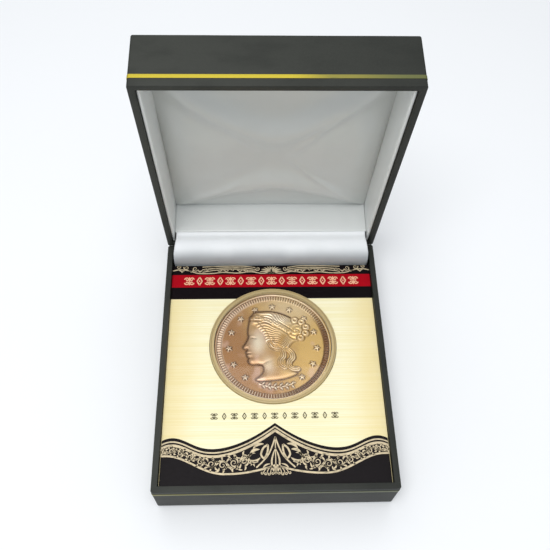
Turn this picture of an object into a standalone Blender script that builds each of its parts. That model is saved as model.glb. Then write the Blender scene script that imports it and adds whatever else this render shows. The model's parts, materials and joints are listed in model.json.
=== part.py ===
"""Hinged presentation case that shows one coin in a clear two-part capsule.

The base tray holds a foam insert, a printed card and the capsule. The lid is lined with
satin and turns on a steel strip hinge at the back edge. The lid is modelled shut, in the
case's own coordinates, and a parent empty on the hinge axis turns it to its open stop.

Frame: metres, +Z up, origin on the table under the middle of the base, -Y is the front.
"""

import math

import bmesh
import bpy
from mathutils import Matrix, Vector

MM = 0.001

# ---- driving dimensions ---------------------------------------------------------------
CASE_WIDTH = 70.0 * MM
CASE_DEPTH = 82.5 * MM
BASE_RIM_Z = 16.2 * MM
LID_RIM_Z = 16.4 * MM
LID_TOP_Z = 31.75 * MM
OPEN_ANGLE = math.radians(82.0)

GAP = 0.1 * MM  # between glued flat pieces
WRAP = 0.35 * MM  # leatherette covering
CORE = 0.85 * MM  # moulded shell under the covering
EDGE_ROUND = 0.45 * MM

FOOT_SHEET = 0.5 * MM
FOOT_INSET = 1.2 * MM
WRAP_BOTTOM_Z = FOOT_SHEET + GAP
FLANGE = 7.0 * MM  # covering turned under the base
TURN_IN = 3.8 * MM  # covering turned down inside the rim

FOIL = 0.06 * MM
FOIL_GAP = 0.03 * MM
FOIL_WIDTH = 1.1 * MM
FOIL_FROM_RIM = 2.8 * MM

CARD_TOP_Z = BASE_RIM_Z - 1.8 * MM
CARD = 0.6 * MM
BOARD = 0.4 * MM
INSERT_BACK = 7.05 * MM  # from the case's back face to the insert
FIT = 0.3 * MM  # around pieces that lift out or slip in
INSERT_FIT = 0.15 * MM  # from the insert to the side and front walls

COIN_RADIUS = 18.5 * MM
COIN_THICK = 2.4 * MM
CAPSULE_RADIUS = 20.0 * MM
CAPSULE_HEIGHT = 4.8 * MM
CAPSULE_PROUD = 0.6 * MM  # above the card
COIN_CENTRE_Y = 4.8 * MM
FACE_PLATE = 1.1 * MM  # flat wall of each capsule half
SEAT_WALL = 0.55 * MM
COIN_PLAY = 0.25 * MM
CAPSULE_STEPS = 72

LINING = 0.8 * MM
LINING_BELOW_RIM = 0.8 * MM
BACK_LINING_FACE = 5.1 * MM  # from the lid's back face to the lining over the hinge
BACK_LINING_BELOW_RIM = 2.5 * MM
PAD_BOARD = 0.6 * MM
FOAM = 2.8 * MM
SATIN = 0.3 * MM

LEAF = 0.5 * MM
LEAF_HALF_WIDTH = 26.0 * MM
LEAF_DROP = 10.0 * MM
BARREL_RADIUS = 1.15 * MM
PIN_RADIUS = 0.45 * MM
BORE_RADIUS = 0.55 * MM
BARREL_HALF = 24.0 * MM
KNUCKLES = 5
KNUCKLE_GAP = 0.2 * MM
NOTCH_DEPTH = 1.0 * MM
RIVET_X = 10.0 * MM
RIVET_DROP = 6.0 * MM
RIVET_SHANK = 0.7 * MM
RIVET_HEAD = 1.3 * MM
SPRING_X = 19.0 * MM
SPRING_HALF_WIDTH = 2.0 * MM
SPRING_THICK = 0.3 * MM
CLOTH_THICK = 0.4 * MM

# ---- places worked out from them ------------------------------------------------------
HALF_X = CASE_WIDTH / 2
HALF_Y = CASE_DEPTH / 2
AXIS = Vector((0, HALF_Y, (BASE_RIM_Z + LID_RIM_Z) / 2))
RIM = WRAP + GAP + CORE + GAP + WRAP
CAVITY_X = HALF_X - RIM
CAVITY_Y = HALF_Y - RIM
FLOOR_Z = WRAP_BOTTOM_Z + WRAP + GAP + CORE
CEILING_Z = LID_TOP_Z - WRAP - GAP - CORE
CAPSULE_Z = CARD_TOP_Z + CAPSULE_PROUD - CAPSULE_HEIGHT
SEAT_RADIUS = COIN_RADIUS + COIN_PLAY
SKIRT_INNER = SEAT_RADIUS + SEAT_WALL + GAP
COIN_Z = CAPSULE_Z + FACE_PLATE + GAP
INSERT_BACK_Y = HALF_Y - INSERT_BACK
INSERT_FRONT_Y = -(CAVITY_Y - INSERT_FIT)

# ---- materials: colour, roughness, metallic -------------------------------------------
FINISHES = {
    "leatherette": ((0.055, 0.058, 0.052), 0.55, 0.0),
    "shell_plastic": ((0.03, 0.03, 0.03), 0.5, 0.0),
    "gold_foil": ((0.72, 0.58, 0.16), 0.25, 1.0),
    "foot_paper": ((0.04, 0.04, 0.04), 0.8, 0.0),
    "white_foam": ((0.82, 0.82, 0.80), 0.9, 0.0),
    "black_board": ((0.02, 0.02, 0.02), 0.7, 0.0),
    "printed_card": ((0.86, 0.80, 0.58), 0.45, 0.0),
    "clear_acrylic": ((0.92, 0.93, 0.93), 0.05, 0.0),
    "bronze": ((0.50, 0.31, 0.17), 0.35, 1.0),
    "steel": ((0.62, 0.62, 0.64), 0.3, 1.0),
    "white_satin": ((0.72, 0.73, 0.74), 0.4, 0.0),
    "grey_board": ((0.45, 0.45, 0.43), 0.85, 0.0),
}


def clear_scene():
    for obj in list(bpy.data.objects):
        bpy.data.objects.remove(obj)


def collection(name, hidden=False):
    made = bpy.data.collections.new(name)
    made.hide_render = hidden
    bpy.context.scene.collection.children.link(made)
    return made


def material(finish):
    """The Principled material of one finish, made once."""
    found = bpy.data.materials.get(finish)
    if found:
        return found
    colour, roughness, metallic = FINISHES[finish]
    made = bpy.data.materials.new(finish)
    made.use_nodes = True
    shader = made.node_tree.nodes["Principled BSDF"]
    shader.inputs["Base Color"].default_value = (*colour, 1.0)
    shader.inputs["Roughness"].default_value = roughness
    shader.inputs["Metallic"].default_value = metallic
    return made


class Workshop:
    """Collections, the lid's hinge empty, and the parent that new pieces go on."""

    def __init__(self):
        self.parts = collection("coin_case")
        self.cutters = collection("cutters", hidden=True)
        self.lid_hinge = self.empty("lid_hinge_axis", AXIS, self.parts)
        self.lid_hinge.rotation_euler = (-OPEN_ANGLE, 0, 0)

    def empty(self, name, place, group):
        made = bpy.data.objects.new(name, None)
        made.location = place
        group.objects.link(made)
        return made

    def part(self, name, data, finish, on_lid=False):
        """Links a mesh or curve as a named sub-part, on the lid's empty if it turns with the lid."""
        obj = bpy.data.objects.new(name, data)
        obj.data.materials.append(material(finish))
        self.parts.objects.link(obj)
        if on_lid:
            obj.parent = self.lid_hinge
            obj.location = -AXIS
        return obj

    def cutter(self, name, mesh, target):
        """Links a helper mesh in the same place as the piece that it shapes."""
        obj = bpy.data.objects.new(name, mesh)
        obj.hide_render = True
        obj.display_type = "WIRE"
        self.cutters.objects.link(obj)
        obj.parent = target.parent
        obj.location = target.location
        return obj

    def shape(self, target, name, mesh, operation):
        """Cuts a mesh from a piece, or joins it on, with an exact Boolean."""
        modifier = target.modifiers.new(name, "BOOLEAN")
        modifier.operation = operation
        modifier.object = self.cutter(f"{target.name}_{name}", mesh, target)
        modifier.solver = "EXACT"
        return modifier


# ---- mesh makers ----------------------------------------------------------------------
def mesh_from(bm, name):
    made = bpy.data.meshes.new(name)
    bm.to_mesh(made)
    bm.free()
    return made


def box_mesh(name, low, high):
    """A box between two corners."""
    bm = bmesh.new()
    size = Vector(high) - Vector(low)
    place = Matrix.Translation((Vector(low) + Vector(high)) / 2) @ Matrix.Diagonal((*size, 1))
    bmesh.ops.create_cube(bm, size=1.0, matrix=place)
    return mesh_from(bm, name)


def rod_mesh(name, radius, start, end, sides=24):
    """A cylinder between two points."""
    bm = bmesh.new()
    along = Vector(end) - Vector(start)
    turn = along.to_track_quat("Z", "Y").to_matrix().to_4x4()
    place = Matrix.Translation((Vector(start) + Vector(end)) / 2) @ turn
    bmesh.ops.create_cone(
        bm, cap_ends=True, segments=sides, radius1=radius, radius2=radius, depth=along.length, matrix=place
    )
    return mesh_from(bm, name)


def face_out(bm, half_x):
    """Turns an open sheet's faces so that its outer walls face away from the case."""
    bmesh.ops.recalc_face_normals(bm, faces=bm.faces[:])
    wall = max(bm.faces, key=lambda f: f.calc_center_median().x)
    assert wall.calc_center_median().x > half_x * 0.9
    if wall.normal.x < 0:
        bmesh.ops.reverse_faces(bm, faces=bm.faces[:])


def open_box(half_x, half_y, shut_z, rim_z):
    """A cube primitive at size, without its face on the rim side."""
    bm = bmesh.new()
    place = Matrix.Translation((0, 0, (shut_z + rim_z) / 2)) @ Matrix.Diagonal(
        (2 * half_x, 2 * half_y, abs(rim_z - shut_z), 1)
    )
    bmesh.ops.create_cube(bm, size=1.0, matrix=place)
    lids = [f for f in bm.faces if abs(f.calc_center_median().z - rim_z) < GAP]
    bmesh.ops.delete(bm, geom=lids, context="FACES_ONLY")
    return bm


def draw_in(bm, edges, inset, drop):
    """Extrudes a rectangular edge loop, then moves it towards the middle and along Z."""
    made = bmesh.ops.extrude_edge_only(bm, edges=edges)["geom"]
    for v in [g for g in made if isinstance(g, bmesh.types.BMVert)]:
        v.co.x -= math.copysign(inset, v.co.x)
        v.co.y -= math.copysign(inset, v.co.y)
        v.co.z += drop
    return [g for g in made if isinstance(g, bmesh.types.BMEdge)]


def folded_sheet(name, shut_z, rim_z, flange):
    """The covering as an open sheet: over the shut side or turned under it, up the walls, over the rim, inside."""
    bm = open_box(HALF_X, HALF_Y, shut_z, rim_z)
    inward = math.copysign(TURN_IN, shut_z - rim_z)
    loop = [e for e in bm.edges if e.is_boundary]
    loop = draw_in(bm, loop, RIM, 0)
    draw_in(bm, loop, 0, inward)
    if flange:
        under = [f for f in bm.faces if abs(f.calc_center_median().z - shut_z) < GAP]
        bmesh.ops.inset_region(bm, faces=under, thickness=flange)
        bmesh.ops.delete(bm, geom=under, context="FACES")
    face_out(bm, HALF_X)
    return mesh_from(bm, name)


def tray_mesh(name, shut_z, rim_z):
    """The moulded shell's outer surface, open at the rim."""
    inset = WRAP + GAP
    bm = open_box(HALF_X - inset, HALF_Y - inset, shut_z, rim_z)
    face_out(bm, HALF_X - inset)
    return mesh_from(bm, name)


def band_mesh(name, proud, low_z, high_z):
    """Four upright walls round the case, open above and below."""
    bm = open_box(HALF_X + proud, HALF_Y + proud, low_z, high_z)
    floor = [f for f in bm.faces if abs(f.normal.z) > 0.5]
    bmesh.ops.delete(bm, geom=floor, context="FACES_ONLY")
    face_out(bm, HALF_X)
    return mesh_from(bm, name)


def profile_mesh(name, points):
    """An open outline in the XZ plane for a Screw modifier, from the top centre down the outer side."""
    made = bpy.data.meshes.new(name)
    made.from_pydata([(r, 0, z) for r, z in points], [(i, i + 1) for i in range(len(points) - 1)], [])
    return made


def turned(obj, steps):
    modifier = obj.modifiers.new("turn", "SCREW")
    modifier.axis = "Z"
    modifier.steps = steps
    modifier.render_steps = steps
    modifier.use_merge_vertices = True
    modifier.merge_threshold = 0.00001
    modifier.use_smooth_shade = False
    return modifier


def thicken(obj, thickness):
    """Solidify inwards from the outer surface, with true thickness at folds."""
    modifier = obj.modifiers.new("thickness", "SOLIDIFY")
    modifier.thickness = thickness
    modifier.offset = -1.0
    modifier.use_even_offset = True
    modifier.use_quality_normals = True
    return modifier


def soften(obj, width, segments=2):
    modifier = obj.modifiers.new("edges", "BEVEL")
    modifier.width = width
    modifier.segments = segments
    modifier.limit_method = "ANGLE"
    modifier.angle_limit = math.radians(40)
    return modifier


def smooth_path(points, per_span=4):
    """Points along a Catmull-Rom curve through the given (y, z) points."""
    ends = [points[0] * 2 - points[1], *points, points[-1] * 2 - points[-2]]
    found = []
    for a, b, c, d in zip(ends, ends[1:], ends[2:], ends[3:]):
        for step in range(per_span):
            t = step / per_span
            found.append(
                0.5
                * (
                    2 * b
                    + (c - a) * t
                    + (2 * a - 5 * b + 4 * c - d) * t * t
                    + (3 * b - a - 3 * c + d) * t * t * t
                )
            )
    return [*found, points[-1]]


def strip_curve(name, path, thickness, half_width):
    """A strip of constant thickness: its side outline as a filled 2D curve, extruded to its width."""
    left, right = [], []
    for i, p in enumerate(path):
        along = path[min(i + 1, len(path) - 1)] - path[max(i - 1, 0)]
        side = Vector((-along.y, along.x)).normalized() * thickness / 2
        left.append(p + side)
        right.append(p - side)
    outline = left + right[::-1]
    made = bpy.data.curves.new(name, "CURVE")
    made.dimensions = "2D"
    made.fill_mode = "BOTH"
    made.extrude = half_width
    spline = made.splines.new("POLY")
    spline.points.add(len(outline) - 1)
    for point, (y, z) in zip(spline.points, outline):
        point.co = (y, z, 0, 1)
    spline.use_cyclic_u = True
    return made


def stand_strip(obj, x):
    """Turns a strip drawn in (y, z) upright, so that its width runs along X."""
    obj.rotation_euler = (math.pi / 2, 0, math.pi / 2)
    obj.location = (x, 0, 0)


def across_hinge(inward, along):
    """A point on the open lid: inward from its back face, and along its depth from the rim, as (y, z)."""
    c, s = math.cos(OPEN_ANGLE), math.sin(OPEN_ANGLE)
    return Vector((AXIS.y - inward * c + along * s, AXIS.z + inward * s + along * c))


def on_base(inward, down):
    """A point in the base: inward from its back face, and below the hinge axis, as (y, z)."""
    return Vector((AXIS.y - inward, AXIS.z - down))


# ---- the base -------------------------------------------------------------------------
def barrel_notch(shop, obj):
    """Opens the back rim for the hinge barrel."""
    low = (-BARREL_HALF - FIT, HALF_Y - RIM - GAP, AXIS.z - NOTCH_DEPTH - BARREL_RADIUS / 4)
    high = (BARREL_HALF + FIT, HALF_Y + RIM, AXIS.z + NOTCH_DEPTH + BARREL_RADIUS / 4)
    shop.shape(obj, "barrel_notch", box_mesh("barrel_notch", low, high), "DIFFERENCE")


def rivet_holes(shop, obj, z):
    for side in (-1, 1):
        start = (side * RIVET_X, HALF_Y - WRAP - GAP / 2, z)
        end = (side * RIVET_X, HALF_Y - 2 * RIM, z)
        hole = rod_mesh("rivet_hole", RIVET_SHANK + GAP, start, end, sides=16)
        shop.shape(obj, f"rivet_hole_{'left' if side < 0 else 'right'}", hole, "DIFFERENCE")


def make_shells(shop):
    """The moulded base tray and lid tray under the covering."""
    base = shop.part(
        "base_shell", tray_mesh("base_shell", WRAP_BOTTOM_Z + WRAP + GAP, BASE_RIM_Z - WRAP - GAP), "shell_plastic"
    )
    lid = shop.part(
        "lid_shell", tray_mesh("lid_shell", LID_TOP_Z - WRAP - GAP, LID_RIM_Z + WRAP + GAP), "shell_plastic", True
    )
    for shell, rivet_z in ((base, AXIS.z - RIVET_DROP), (lid, AXIS.z + RIVET_DROP)):
        thicken(shell, CORE)
        barrel_notch(shop, shell)
        rivet_holes(shop, shell, rivet_z)


def make_wraps(shop):
    """The leatherette coverings."""
    base = shop.part("base_wrap", folded_sheet("base_wrap", WRAP_BOTTOM_Z, BASE_RIM_Z, FLANGE), "leatherette")
    lid = shop.part("lid_wrap", folded_sheet("lid_wrap", LID_TOP_Z, LID_RIM_Z, None), "leatherette", True)
    for wrap in (base, lid):
        soften(wrap, EDGE_ROUND)
        thicken(wrap, WRAP)
        barrel_notch(shop, wrap)


def make_foil_lines(shop):
    """A gold line round the base and one round the lid, each near its rim."""
    proud = FOIL_GAP + FOIL
    for name, middle, on_lid in (
        ("base_foil_line", BASE_RIM_Z - FOIL_FROM_RIM, False),
        ("lid_foil_line", LID_RIM_Z + FOIL_FROM_RIM, True),
    ):
        band = band_mesh(name, proud, middle - FOIL_WIDTH / 2, middle + FOIL_WIDTH / 2)
        foil = shop.part(name, band, "gold_foil", on_lid)
        soften(foil, EDGE_ROUND + proud)
        thicken(foil, FOIL)


def make_foot_sheet(shop):
    half_x, half_y = HALF_X - FOOT_INSET, HALF_Y - FOOT_INSET
    shop.part("foot_sheet", box_mesh("foot_sheet", (-half_x, -half_y, 0), (half_x, half_y, FOOT_SHEET)), "foot_paper")


def holed_plate(shop, name, low_z, high_z, half_x, radius, finish):
    """A flat piece of the insert with a round hole, or a pocket that stops above its underside."""
    low = (-half_x, INSERT_FRONT_Y, low_z)
    high = (half_x, INSERT_BACK_Y, high_z)
    plate = shop.part(name, box_mesh(name, low, high), finish)
    floor = min(low_z - GAP, CAPSULE_Z - GAP) if high_z > CARD_TOP_Z - 3 * CARD else CAPSULE_Z - GAP
    start, end = (0, COIN_CENTRE_Y, floor), (0, COIN_CENTRE_Y, high_z + GAP)
    shop.shape(plate, "round_hole", rod_mesh("round_hole", radius, start, end, CAPSULE_STEPS), "DIFFERENCE")
    return plate


def make_insert(shop):
    """Foam block with the capsule's pocket, the backing board and the printed card."""
    card_low = CARD_TOP_Z - CARD
    board_high = card_low - GAP
    board_low = board_high - BOARD
    block_high = board_low - GAP
    half_x = CAVITY_X - INSERT_FIT
    holed_plate(shop, "insert_block", FLOOR_Z + GAP, block_high, half_x, CAPSULE_RADIUS + FIT, "white_foam")
    holed_plate(shop, "insert_board", board_low, board_high, half_x, CAPSULE_RADIUS + FIT, "black_board")
    holed_plate(shop, "printed_card", card_low, CARD_TOP_Z, half_x, CAPSULE_RADIUS + FIT / 2, "printed_card")


def make_capsule(shop):
    """Clear tray with a seat ring, clear cap whose skirt goes round the ring, and the coin."""
    rounding = 0.2 * MM
    seat_top = FACE_PLATE + COIN_THICK - GAP
    skirt_low = FACE_PLATE + GAP
    plate_low = CAPSULE_HEIGHT - FACE_PLATE
    tray = [
        (0, FACE_PLATE),
        (SEAT_RADIUS, FACE_PLATE),
        (SEAT_RADIUS, seat_top),
        (SEAT_RADIUS + SEAT_WALL, seat_top),
        (SEAT_RADIUS + SEAT_WALL, FACE_PLATE),
        (CAPSULE_RADIUS, FACE_PLATE),
        (CAPSULE_RADIUS, rounding),
        (CAPSULE_RADIUS - rounding, 0),
        (0, 0),
    ]
    cap = [
        (0, CAPSULE_HEIGHT),
        (CAPSULE_RADIUS - rounding, CAPSULE_HEIGHT),
        (CAPSULE_RADIUS, CAPSULE_HEIGHT - rounding),
        (CAPSULE_RADIUS, skirt_low),
        (SKIRT_INNER, skirt_low),
        (SKIRT_INNER, plate_low),
        (0, plate_low),
    ]
    for name, points in (("capsule_tray", tray), ("capsule_cap", cap)):
        half = shop.part(name, profile_mesh(name, points), "clear_acrylic")
        half.location = (0, COIN_CENTRE_Y, CAPSULE_Z)
        turned(half, CAPSULE_STEPS)


def make_coin(shop):
    """A plain blank with a raised rim on both faces."""
    rim_in = COIN_RADIUS - 1.3 * MM
    rim_out = COIN_RADIUS - 0.25 * MM
    field = 0.25 * MM
    top = [(0, COIN_THICK - field), (rim_in, COIN_THICK - field), (rim_in + field, COIN_THICK), (rim_out, COIN_THICK)]
    upper = [*top, (COIN_RADIUS, COIN_THICK - field)]
    lower = [(r, COIN_THICK - z) for r, z in reversed(upper)]
    coin = shop.part("coin", profile_mesh("coin", upper + lower), "bronze")
    coin.location = (0, COIN_CENTRE_Y, COIN_Z)
    turned(coin, CAPSULE_STEPS)


# ---- the hinge ------------------------------------------------------------------------
def knuckle_spans(own):
    """The X spans of the barrel's knuckles: even ones on the base leaf, odd ones on the lid leaf."""
    pitch = 2 * BARREL_HALF / KNUCKLES
    for i in range(KNUCKLES):
        if i % 2 == own:
            start = -BARREL_HALF + i * pitch
            yield start + KNUCKLE_GAP / 2, start + pitch - KNUCKLE_GAP / 2


def make_leaf(shop, name, up, own, on_lid):
    """A steel leaf on a back wall's inner face, bridged over the rim to its share of the barrel. up is -1 or 1."""
    leg_far = HALF_Y - RIM - GAP
    leg_near = leg_far - LEAF
    bridge_low = 0.45 * MM
    bridge_high = bridge_low + LEAF
    clear_y = HALF_Y - BARREL_RADIUS - 0.25 * MM

    def span(x0, x1, y0, y1, rise0, rise1):
        z0, z1 = sorted((AXIS.z + up * rise0, AXIS.z + up * rise1))
        return box_mesh(name, (x0, y0, z0), (x1, y1, z1))

    wide = LEAF_HALF_WIDTH
    inner = BARREL_HALF
    leaf = shop.part(name, span(-wide, wide, leg_near, leg_far, bridge_high + GAP, LEAF_DROP), "steel", on_lid)
    bridge = span(-inner, inner, leg_near, clear_y, bridge_low, bridge_high + 2 * GAP)
    shop.shape(leaf, "bridge", bridge, "UNION")
    for n, (x0, x1) in enumerate(knuckle_spans(own)):
        tab = span(x0, x1, clear_y - LEAF, HALF_Y, bridge_low, bridge_high)
        shop.shape(leaf, f"tab_{n}", tab, "UNION")
        barrel = rod_mesh("barrel", BARREL_RADIUS, (x0, AXIS.y, AXIS.z), (x1, AXIS.y, AXIS.z))
        shop.shape(leaf, f"barrel_{n}", barrel, "UNION")
    bore = rod_mesh("bore", BORE_RADIUS, (-BARREL_HALF - GAP, AXIS.y, AXIS.z), (BARREL_HALF + GAP, AXIS.y, AXIS.z))
    shop.shape(leaf, "bore", bore, "DIFFERENCE")
    rivet_holes(shop, leaf, AXIS.z + up * RIVET_DROP)


def make_rivets(shop):
    """Two dome-headed rivets through each leaf into the shell behind it."""
    head_face = HALF_Y - RIM - GAP - LEAF - GAP / 2
    tip = HALF_Y - WRAP - 2 * GAP
    dome = 0.35 * MM
    points = [(0, dome), (0.6 * RIVET_HEAD, 0.8 * dome), (RIVET_HEAD, 0.3 * dome), (RIVET_HEAD, 0)]
    points += [(RIVET_SHANK, 0), (RIVET_SHANK, head_face - tip), (0, head_face - tip)]
    for owner, up, on_lid in (("base", -1, False), ("lid", 1, True)):
        for side, x in (("left", -RIVET_X), ("right", RIVET_X)):
            name = f"{owner}_rivet_{side}"
            rivet = shop.part(name, profile_mesh(name, points), "steel", on_lid)
            rivet.rotation_euler = (math.pi / 2, 0, 0)
            place = Vector((x, head_face, AXIS.z + up * RIVET_DROP))
            rivet.location = place - AXIS if on_lid else place
            turned(rivet, 16)


def make_hinge(shop):
    make_leaf(shop, "base_hinge_leaf", -1, 0, False)
    make_leaf(shop, "lid_hinge_leaf", 1, 1, True)
    make_rivets(shop)
    reach = BARREL_HALF - FIT
    shop.part("hinge_pin", rod_mesh("hinge_pin", PIN_RADIUS, (-reach, 0, 0), (reach, 0, 0)), "steel").location = AXIS


def make_springs(shop):
    """Two flat springs that bow over the barrel, from the base leaf to the lid leaf, as they lie when the lid is open."""
    inward = RIM + GAP + LEAF + 0.15 * MM + SPRING_THICK / 2
    half_turn = (math.pi + OPEN_ANGLE) / 2
    crest = 1.95 * MM * Vector((math.sin(half_turn - math.pi / 2) * -1, math.cos(half_turn - math.pi / 2)))
    climb = [(inward, 7.5 * MM), (inward, 3.0 * MM), (inward + 0.05 * MM, 1.2 * MM), (2.75 * MM, -0.2 * MM)]
    path = [on_base(i, d) for i, d in climb]
    path.append(Vector((AXIS.y, AXIS.z)) + crest)
    path += [across_hinge(i, d) for i, d in reversed(climb)]
    for name, x in (("hinge_spring_left", -SPRING_X), ("hinge_spring_right", SPRING_X)):
        strip = strip_curve(name, smooth_path(path), SPRING_THICK, SPRING_HALF_WIDTH)
        stand_strip(shop.part(name, strip, "steel"), x)


def make_hinge_cloth(shop):
    """The satin strip that hides the hinge, from behind the card up to the lid's back lining."""
    tuck = INSERT_BACK - 0.3 * MM
    path = [
        on_base(tuck, 6.0 * MM),
        on_base(tuck, 3.8 * MM),
        on_base(tuck - 0.25 * MM, 2.2 * MM),
        on_base(6.2 * MM, -0.8 * MM),
        on_base(4.5 * MM, -4.2 * MM),
        across_hinge(BACK_LINING_FACE - 0.1 * MM, BACK_LINING_BELOW_RIM - 0.3 * MM),
    ]
    strip = strip_curve("hinge_cloth", smooth_path(path), CLOTH_THICK, CAVITY_X - LINING - 2 * FIT)
    stand_strip(shop.part("hinge_cloth", strip, "white_satin"), 0)


# ---- the lid's lining -----------------------------------------------------------------
def make_linings(shop):
    """Satin-covered card strips on the lid's four walls; the back one stands off over the hinge."""
    low_z = LID_RIM_Z + LINING_BELOW_RIM
    high_z = CEILING_Z - GAP
    outer_x = CAVITY_X - GAP
    inner_x = outer_x - LINING
    between = inner_x - GAP
    front_y = -CAVITY_Y + GAP
    back_y = HALF_Y - BACK_LINING_FACE
    spans = {
        "lid_lining_left": ((-outer_x, front_y, low_z), (-inner_x, -front_y, high_z)),
        "lid_lining_right": ((inner_x, front_y, low_z), (outer_x, -front_y, high_z)),
        "lid_lining_front": ((-between, front_y, low_z), (between, front_y + LINING, high_z)),
        "lid_lining_back": (
            (-between, back_y, LID_RIM_Z + BACK_LINING_BELOW_RIM),
            (between, back_y + LINING, high_z),
        ),
    }
    for name, (low, high) in spans.items():
        strip = shop.part(name, box_mesh(name, low, high), "white_satin", True)
        soften(strip, LINING / 3, 1)


def make_pad(shop):
    """The ceiling pad: a board, foam on it, and the satin cover drawn over both."""
    side = CAVITY_X - GAP - LINING - 2 * GAP
    front = -CAVITY_Y + GAP + LINING + GAP
    back = HALF_Y - BACK_LINING_FACE - GAP
    board_high = CEILING_Z - GAP
    board_low = board_high - PAD_BOARD
    foam_high = board_low - GAP
    foam_low = foam_high - FOAM
    skin = SATIN + GAP
    plates = {
        "lid_pad_board": (board_low, board_high, skin, "grey_board"),
        "lid_foam": (foam_low, foam_high, skin, "white_foam"),
    }
    for name, (low_z, high_z, inset, finish) in plates.items():
        low = (-side + inset, front + inset, low_z)
        high = (side - inset, back - inset, high_z)
        shop.part(name, box_mesh(name, low, high), finish, True)
    bm = bmesh.new()
    low = Vector((-side, front, foam_low - skin))
    high = Vector((side, back, board_high))
    place = Matrix.Translation((low + high) / 2) @ Matrix.Diagonal((*(high - low), 1))
    bmesh.ops.create_cube(bm, size=1.0, matrix=place)
    upper = [f for f in bm.faces if f.normal.z > 0.5]
    bmesh.ops.delete(bm, geom=upper, context="FACES_ONLY")
    satin = shop.part("lid_satin", mesh_from(bm, "lid_satin"), "white_satin", True)
    thicken(satin, SATIN)


def main():
    clear_scene()
    shop = Workshop()
    make_shells(shop)
    make_wraps(shop)
    make_foil_lines(shop)
    make_foot_sheet(shop)
    make_insert(shop)
    make_capsule(shop)
    make_coin(shop)
    make_hinge(shop)
    make_springs(shop)
    make_hinge_cloth(shop)
    make_linings(shop)
    make_pad(shop)


main()
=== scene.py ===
"""Looks for a hinged presentation case with a coin in a clear capsule, built round its packed CAD model."""

import json
import math

import bmesh
import bpy
import numpy as np
from bpy.props import FloatProperty, FloatVectorProperty, IntProperty, PointerProperty
from mathutils import Matrix, Vector, noise


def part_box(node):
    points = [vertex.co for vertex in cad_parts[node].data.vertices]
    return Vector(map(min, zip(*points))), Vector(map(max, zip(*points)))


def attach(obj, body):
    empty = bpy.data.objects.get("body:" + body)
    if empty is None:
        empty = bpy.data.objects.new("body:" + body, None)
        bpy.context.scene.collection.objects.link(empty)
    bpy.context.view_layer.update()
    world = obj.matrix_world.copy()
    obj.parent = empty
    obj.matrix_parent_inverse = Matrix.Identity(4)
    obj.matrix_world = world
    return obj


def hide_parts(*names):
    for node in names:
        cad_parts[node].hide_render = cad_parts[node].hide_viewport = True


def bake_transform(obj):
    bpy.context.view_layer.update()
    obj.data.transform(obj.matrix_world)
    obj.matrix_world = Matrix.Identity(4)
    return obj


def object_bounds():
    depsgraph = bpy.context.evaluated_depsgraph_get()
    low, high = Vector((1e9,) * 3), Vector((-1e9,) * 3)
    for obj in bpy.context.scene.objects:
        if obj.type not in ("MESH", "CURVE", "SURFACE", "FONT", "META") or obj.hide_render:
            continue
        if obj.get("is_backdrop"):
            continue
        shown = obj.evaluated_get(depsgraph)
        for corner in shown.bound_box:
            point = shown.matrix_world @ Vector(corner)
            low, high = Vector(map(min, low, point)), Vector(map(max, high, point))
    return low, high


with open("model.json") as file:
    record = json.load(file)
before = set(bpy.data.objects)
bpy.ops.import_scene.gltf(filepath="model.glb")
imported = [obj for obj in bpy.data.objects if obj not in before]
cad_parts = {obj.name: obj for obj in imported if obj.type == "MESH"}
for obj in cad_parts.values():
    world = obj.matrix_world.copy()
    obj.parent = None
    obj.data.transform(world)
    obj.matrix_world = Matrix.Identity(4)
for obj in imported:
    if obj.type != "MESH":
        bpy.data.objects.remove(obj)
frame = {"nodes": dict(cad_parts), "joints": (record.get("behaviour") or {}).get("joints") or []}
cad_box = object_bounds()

bl_info = {
    "name": "Coin Case",
    "version": (1, 0, 0),
    "blender": (4, 5, 0),
    "location": "3D View > Sidebar > Coin Case",
    "description": "Covers, prints, lines and lights a hinged coin presentation case",
    "category": "Add Mesh",
}

MM = 0.001

# ---- places taken from the packed model ------------------------------------------------
HINGE = next(j for j in frame["joints"] if j["name"] == "lid_hinge")
AXIS = Vector(HINGE["pos_m"])
OPEN_ANGLE = math.radians(HINGE["range_deg"][1])
LID_PLACE = Matrix.Translation(AXIS) @ Matrix.Rotation(-OPEN_ANGLE, 4, "X") @ Matrix.Translation(-AXIS)
LID_BACK = LID_PLACE.inverted()


def lid_box(node):
    """A lid node's box in the shut lid's own coordinates."""
    mesh = frame["nodes"][node].data
    turned = np.array([LID_BACK @ v.co for v in mesh.vertices], float)
    return Vector(turned.min(0)), Vector(turned.max(0))


def lid_spot(inward, up):
    """An open lid's point as (y, z), from its place beside the hinge line in the shut lid, in millimetres."""
    spot = LID_PLACE @ Vector((0, AXIS.y - inward * MM, AXIS.z + up * MM))
    return Vector((spot.y, spot.z))


BASE_LOW, BASE_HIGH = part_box("base_wrap")
LID_LOW, LID_HIGH = lid_box("lid_wrap")
CARD_LOW, CARD_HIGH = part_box("printed_card")
COIN_LOW, COIN_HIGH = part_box("coin")
TRAY_LOW, TRAY_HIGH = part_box("capsule_tray")
CAP_LOW, CAP_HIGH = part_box("capsule_cap")
CENTRE = (COIN_LOW + COIN_HIGH) / 2
HALF_X = BASE_HIGH.x
HALF_Y = BASE_HIGH.y


def length(name, default, description):
    return FloatProperty(name=name, description=description, default=default, unit="LENGTH", precision=5)


def number(name, default, description):
    return IntProperty(name=name, description=description, default=default, min=1)


def tint(name, default, description):
    limits = {"size": 3, "min": 0.0, "max": 1.0}
    return FloatVectorProperty(name=name, description=description, default=default, subtype="COLOR", **limits)


def power(name, default, description):
    return FloatProperty(name=name, description=description, default=default, unit="POWER")


def plain(name, default, description):
    return FloatProperty(name=name, description=description, default=default)


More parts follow.
